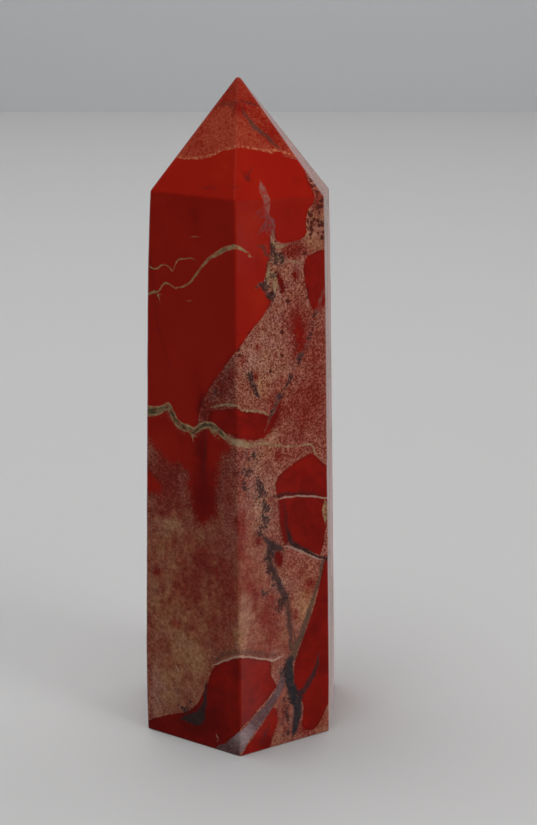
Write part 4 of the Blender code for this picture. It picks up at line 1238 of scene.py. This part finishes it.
def draw_tip_grain(w, given, place, noises, speckle, shown):
    """The brick-coloured grain across the tip, with a dotted pale line along its lower edge."""
    depth = w.total(w.attribute("grain_depth"), w.product(noises.wander, 0.9))
    inside = w.ramp(depth, -0.05, 0.3)
    cover = w.total(0.5, w.product(w.total(noises.patches, noises.veils), 0.5))
    cover = w.math("SUBTRACT", cover, w.attribute("grain_thin"))
    grain = w.group(speckle, Place=place, Size=TIP_GRAIN, Cover=cover, Crispness=0.32)["Grains"]
    height = w.total(w.first(place, 2), w.product(noises.slow, 1.5))
    grain = w.product(grain, w.ramp(height, 86.0, 87.4, 0.85, 0.45))
    shown = w.mix(w.product(inside, 0.42), shown, given["Red dark"])
    shown = w.mix(w.product(grain, inside), shown, given["Grain"])
    dotted = w.product(w.ramp(depth, 0.05, 0.2), w.ramp(depth, 0.3, 0.7, 1.0, 0.0))
    dotted = w.product(dotted, w.ramp(w.noise(place, 2.6, 2.0, 0.6), 0.42, 0.58))
    return w.mix(w.product(dotted, 0.7), shown, given["Grain rim"])


def draw_dark_veins(w, given, place, iron, shown):
    """Dark veins, olive to grey to navy to maroon black, each in a soft halo."""
    solid, shade = w.attribute("dark_solid"), w.attribute("dark_shade")
    tint = w.mix(w.ramp(shade, 0.0, 0.33, smooth=False), given["Olive"], given["Grey"])
    tint = w.mix(w.ramp(shade, 0.33, 0.62, smooth=False), tint, given["Navy"])
    tint = w.mix(w.ramp(shade, 0.62, 1.0, smooth=False), tint, given["Maroon"])
    tint = w.brighten(tint, w.noise(place, 1.8, 3.0, 0.6), 0.4)
    broken = w.ramp(w.noise(place, 1.3, 4.0, 0.75), 0.4, 0.52, w.ramp(solid, 0.4, 1.0, 0.1, 0.8), 1.0)
    solid = w.product(solid, w.ramp(iron.crumble, 0.0, 0.4, 1.0, 0.0))
    halo_tint = w.mix(w.ramp(shade, 0.62, 1.0), given["Grey"], given["Maroon"])
    shown = w.mix(w.product(iron.vein["Halo"], 0.4, solid), shown, halo_tint)
    return w.mix(w.product(iron.vein["Band"], broken, solid), shown, tint)


def draw_quartz(w, given, place, noises, vein, shown):
    """Pale quartz, streaked along its length."""
    drawn = w.attribute("pale_vein", vector=True)
    quartz = w.group(vein, Vein=drawn, Wander=w.product(noises.wander, 0.8), Edge=0.1)
    streaks = w.add("ShaderNodeTexNoise", noise_dimensions="2D")
    along = w.add("ShaderNodeCombineXYZ")
    w.feed(along.inputs[0], w.product(quartz["Across"], 2.0))
    w.feed(along.inputs[1], w.product(w.first(place, 2), 0.25))
    w.feed(streaks.inputs["Vector"], along.outputs[0])
    streaks.inputs["Detail"].default_value = 4.0
    solid, shade = w.attribute("pale_solid"), w.attribute("pale_shade")
    white = w.product(w.ramp(streaks.outputs[0], 0.5, 0.8), 0.5)
    # Shades below 0 turn the band to pale lilac: a real white streak, and at the front edge partly painted
    # highlight.
    white = w.math("MAXIMUM", white, w.ramp(shade, 0.0, -1.0, 0.0, 1.0, smooth=False))
    tint = w.mix(white, given["Lilac"], given["Lilac pale"])
    tint = w.mix(w.ramp(shade, 0.2, 1.0, smooth=False), tint, given["Quartz"])
    tint = w.brighten(tint, w.noise(place, 2.0, 3.0, 0.6), 0.3)
    patchy = w.ramp(w.noise(place, 1.5, 4.0, 0.75), 0.42, 0.54, w.ramp(solid, 0.5, 0.8, 0.1, 1.0), 1.0)
    return w.mix(w.product(quartz["Band"], patchy, solid), shown, tint)


def draw_tan_veins(w, given, place, noises, vein, grains, shown):
    """Tan veins, with a grey-green core where they are wide, and worn through by the grains where faint."""
    drawn, shade = w.attribute("tan_vein", vector=True), w.attribute("tan_shade")
    tan = w.group(vein, Vein=drawn, Wander=w.product(noises.wander, 0.6), Edge=0.06)
    core = w.product(tan["Core"], w.ramp(shade, 0.0, 0.6))
    core = w.product(core, w.ramp(w.noise(place, 1.4, 2.0), 0.35, 0.6, 0.35, 1.0))
    tint = w.mix(core, given["Vein tan"], given["Vein core"])
    tint = w.brighten(tint, w.noise(place, 1.6, 4.0, 0.7), 0.5)
    worn = w.ramp(w.noise(place, 1.7, 3.0, 0.65), 0.36, 0.54, 0.4, 0.95)
    faint = w.ramp(shade, 0.0, 0.4, 0.55, 0.0)
    worn = w.product(worn, w.math("SUBTRACT", 1.0, w.product(grains, faint)))
    return w.mix(w.product(tan["Band"], worn), shown, tint)


def draw_iron_specks(w, given, place, iron, speckle, shown):
    """Specks of dark iron stone, scattered or where a dark vein has crumbled."""
    cover = w.math("MINIMUM", w.total(iron.scattered, iron.crumbs), 0.64)
    specks = w.group(speckle, Place=place, Size=IRON_SPECK, Cover=cover, Crispness=0.9)["Grains"]
    specks = w.product(specks, w.ramp(cover, 0.05, 0.3))
    tint = w.mix(w.ramp(w.noise(place, 1.1, 2.0), 0.45, 0.75), given["Maroon"], given["Grey"])
    return w.mix(w.product(specks, 0.92), shown, tint)


def jasper_group():
    """The whole stone: its colour, how dull each part polishes, and the slight relief the polish leaves."""
    tree, w, given, result = new_group(
        "Brecciated jasper", [(title, COLOUR) for title in COLOUR_INPUTS],
        [("Color", COLOUR), ("Dullness", NUMBER), ("Relief", NUMBER)])
    vein, speckle = vein_group(), speckle_group()
    place = w.scaled(w.add("ShaderNodeTexCoord").outputs["Object"], 1.0 / MM)
    noises = shared_noises(w, place)
    iron = find_iron(w, place, noises, vein)

    ground, grains, net = draw_ground(w, given, place, noises, iron, speckle)
    ground = draw_dots(w, given, place, ground)
    lump, red = clean_red(w, given, place, noises)
    shown = w.mix(lump, ground, red)
    shown = w.mix(w.product(iron.crumbs, lump, 0.7), shown, given["Ash"])
    shown = draw_tip_grain(w, given, place, noises, speckle, shown)
    shown = draw_dark_veins(w, given, place, iron, shown)
    shown = draw_quartz(w, given, place, noises, vein, shown)
    shown = draw_tan_veins(w, given, place, noises, vein, grains, shown)
    shown = draw_iron_specks(w, given, place, iron, speckle, shown)
    w.feed(result["Color"], shown)

    ground_share = w.math("SUBTRACT", 1.0, lump)
    w.feed(result["Dullness"], w.product(ground_share, w.ramp(w.noise(place, 2.0, 3.0), 0.35, 0.7, 0.2, 1.0)))
    w.feed(result["Relief"], w.math("SUBTRACT", 0.0, w.product(ground_share, net)))
    return tree


# A finish: how rough its lumps and its dullest ground are, and how deep the relief of the ground is.
Finish = namedtuple("Finish", "roughness dull_roughness relief")
POLISHED = Finish(0.13, 0.24, 0.01 * MM)
SAWN = Finish(0.5, 0.62, 0.03 * MM)
RELIEF_STRENGTH = 0.35
JASPER_IOR = 1.54


def stone_material(name, group, colours, finish):
    """A material of the jasper group, with the gloss and relief of one finish."""
    material = bpy.data.materials.new(name)
    material.use_nodes = True
    w = Wiring(material.node_tree)
    shader = material.node_tree.nodes["Principled BSDF"]
    node = w.add("ShaderNodeGroup", node_tree=group)
    for title in COLOUR_INPUTS:
        node.inputs[title].default_value = getattr(colours, title.lower().replace(" ", "_"))
    w.feed(shader.inputs["Base Color"], node.outputs["Color"])
    roughness = w.ramp(
        node.outputs["Dullness"], 0.0, 1.0, finish.roughness, finish.dull_roughness, smooth=False)
    w.feed(shader.inputs["Roughness"], roughness)
    bump = w.add("ShaderNodeBump")
    bump.inputs["Distance"].default_value = finish.relief
    bump.inputs["Strength"].default_value = RELIEF_STRENGTH
    w.feed(bump.inputs["Height"], node.outputs["Relief"])
    w.feed(shader.inputs["Normal"], bump.outputs["Normal"])
    shader.inputs["IOR"].default_value = JASPER_IOR
    return material


class JASPER_OT_stone(bpy.types.Operator):
    """Cut the stone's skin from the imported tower, draw its markings and polish it"""

    bl_idname = "jasper.stone"
    bl_label = "Stone"

    def execute(self, context):
        if STONE_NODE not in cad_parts:
            raise RuntimeError("the packed model has no node for the stone")
        colours = context.scene.jasper_colours
        tower = add_stone(context.scene.jasper_sizes)
        group = jasper_group()
        tower.data.materials.append(stone_material("polished_jasper", group, colours, POLISHED))
        tower.data.materials.append(stone_material("sawn_jasper", group, colours, SAWN))
        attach(tower, "root")
        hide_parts(STONE_NODE)
        return {"FINISHED"}


# The stage (m): its floor and backdrop, the places the lamps aim at, and the colour of the glow cards.
STAGE_WIDTH = 3.0
WALL_HEIGHT = 1.6
WALL_BEHIND = 0.7
STONE_MIDDLE = (0.0, 0.0, 0.045)
WALL_FOOT = (0.0, WALL_BEHIND, 0.2)
GLOW_TINT = (1.0, 0.96, 0.92, 1.0)


def plain_material(name, tint, roughness):
    """One colour and one roughness."""
    material = bpy.data.materials.new(name)
    material.use_nodes = True
    shader = material.node_tree.nodes["Principled BSDF"]
    shader.inputs["Base Color"].default_value = tint
    shader.inputs["Roughness"].default_value = roughness
    return material


def stage_card(name, width, depth, middle, upright, material):
    """A flat rectangle of the stage, lying down or upright across the view."""
    card = bmesh.new()
    bmesh.ops.create_grid(card, x_segments=1, y_segments=1, size=0.5)
    bmesh.ops.scale(card, vec=(width, depth, 1.0), verts=card.verts)
    if upright:
        for vert in card.verts:
            vert.co = Vector((vert.co.x, 0.0, vert.co.y))
    bmesh.ops.translate(card, vec=middle, verts=card.verts)
    mesh = bpy.data.meshes.new(name)
    card.to_mesh(mesh)
    card.free()
    mesh.materials.append(material)
    obj = bpy.data.objects.new(name, mesh)
    bpy.context.scene.collection.objects.link(obj)
    return obj


def area_light(name, place, target, width, height, power):
    """A soft rectangular lamp turned to its target, which the polish doesn't mirror."""
    lamp = bpy.data.lights.new(name, "AREA")
    lamp.shape = "RECTANGLE"
    lamp.size, lamp.size_y = width, height
    lamp.energy = power
    obj = bpy.data.objects.new(name, lamp)
    obj.location = place
    obj.rotation_euler = (Vector(target) - Vector(place)).to_track_quat("-Z", "Y").to_euler()
    obj.visible_glossy = False
    bpy.context.scene.collection.objects.link(obj)


def glow_card(name, middle, width, height, strength):
    """A pale upright card turned to the stone. Only the polish sees it."""
    material = bpy.data.materials.new(name)
    material.use_nodes = True
    shader = material.node_tree.nodes["Principled BSDF"]
    shader.inputs["Base Color"].default_value = (0.0, 0.0, 0.0, 1.0)
    shader.inputs["Emission Color"].default_value = GLOW_TINT
    shader.inputs["Emission Strength"].default_value = strength
    card = stage_card(name, width, height, (0.0, 0.0, 0.0), True, material)
    turn = math.atan2(middle[1], middle[0]) + math.pi / 2
    card.data.transform(Matrix.Translation(middle) @ Matrix.Rotation(turn, 4, "Z"))
    card.visible_camera = card.visible_diffuse = card.visible_shadow = False


def studio_world(studio):
    """Even light all round, and for the polish a pale surround behind and a dim one in front."""
    world = bpy.data.worlds.new("studio")
    world.use_nodes = True
    w = Wiring(world.node_tree)
    behind = w.ramp(w.first(w.add("ShaderNodeTexCoord").outputs["Generated"], 1), 0.15, 0.6)
    mirrored = w.mix(behind, studio.gloss_front, studio.gloss_back)
    path = w.add("ShaderNodeLightPath").outputs
    light = w.mix(path["Is Camera Ray"], studio.surround, studio.backdrop)
    light = w.mix(path["Is Glossy Ray"], light, mirrored)
    w.feed(world.node_tree.nodes["Background"].inputs["Color"], light)
    return world


class JASPER_OT_stage(bpy.types.Operator):
    """Set up the pale floor, the backdrop, the soft lights and the camera"""

    bl_idname = "jasper.stage"
    bl_label = "Stage"

    def execute(self, context):
        studio = context.scene.jasper_studio
        floor_paint = plain_material("floor", studio.floor, 0.8)
        wall_paint = plain_material("backdrop", studio.backdrop, 0.9)
        floor = stage_card("floor", STAGE_WIDTH, STAGE_WIDTH, (0.0, 0.0, 0.0), False, floor_paint)
        wall_middle = (0.0, WALL_BEHIND, WALL_HEIGHT / 2)
        wall = stage_card("backdrop", STAGE_WIDTH, WALL_HEIGHT, wall_middle, True, wall_paint)
        floor.visible_glossy = wall.visible_glossy = False
        context.scene.world = studio_world(studio)
        context.scene.view_settings.view_transform = "Standard"

        area_light("key", (0.62, -0.42, 0.20), STONE_MIDDLE, 0.3, 0.3, studio.key_power)
        area_light("top", (-0.12, -0.05, 0.85), STONE_MIDDLE, 0.6, 0.6, studio.top_power)
        area_light("wall_light", (0.0, 0.25, 0.9), WALL_FOOT, 1.2, 0.2, studio.wall_power)
        glow_card("upper_glow", (0.0905, -0.0825, 0.056), 0.03, 0.012, studio.glow * 0.7)
        glow_card("lower_glow", (0.0870, -0.0790, -0.0230), 0.03, 0.062, studio.glow)

        lens = bpy.data.cameras.new("camera")
        lens.lens = studio.lens
        lens.sensor_width = 36.0
        camera = bpy.data.objects.new("camera", lens)
        camera.location = studio.camera_place
        camera.rotation_euler = (math.pi / 2 - studio.camera_pitch, 0.0, 0.0)
        context.scene.collection.objects.link(camera)
        context.scene.camera = camera
        return {"FINISHED"}


class JASPER_PT_panel(bpy.types.Panel):
    """The tower's pieces and settings, in the sidebar"""

    bl_label = "Jasper Tower"
    bl_space_type = "VIEW_3D"
    bl_region_type = "UI"
    bl_category = "Jasper"

    def draw(self, context):
        layout = self.layout
        layout.operator("jasper.stone")
        layout.operator("jasper.stage")
        scene = context.scene
        for settings in (scene.jasper_sizes, scene.jasper_colours, scene.jasper_studio):
            box = layout.box()
            for name in settings.bl_rna.properties.keys():
                if name not in {"rna_type", "name"}:
                    box.prop(settings, name)


CLASSES = (JasperSizes, JasperColours, JasperStudio, JASPER_OT_stone, JASPER_OT_stage, JASPER_PT_panel)


def register():
    """Registers the classes and gives the scene its settings."""
    for cls in CLASSES:
        bpy.utils.register_class(cls)
    bpy.types.Scene.jasper_sizes = bpy.props.PointerProperty(type=JasperSizes)
    bpy.types.Scene.jasper_colours = bpy.props.PointerProperty(type=JasperColours)
    bpy.types.Scene.jasper_studio = bpy.props.PointerProperty(type=JasperStudio)


def unregister():
    """Takes the settings and the classes away again."""
    del bpy.types.Scene.jasper_studio
    del bpy.types.Scene.jasper_colours
    del bpy.types.Scene.jasper_sizes
    for cls in reversed(CLASSES):
        bpy.utils.unregister_class(cls)


def main():
    register()
    bpy.ops.jasper.stage()
    bpy.ops.jasper.stone()


if __name__ == "__main__":
    main()
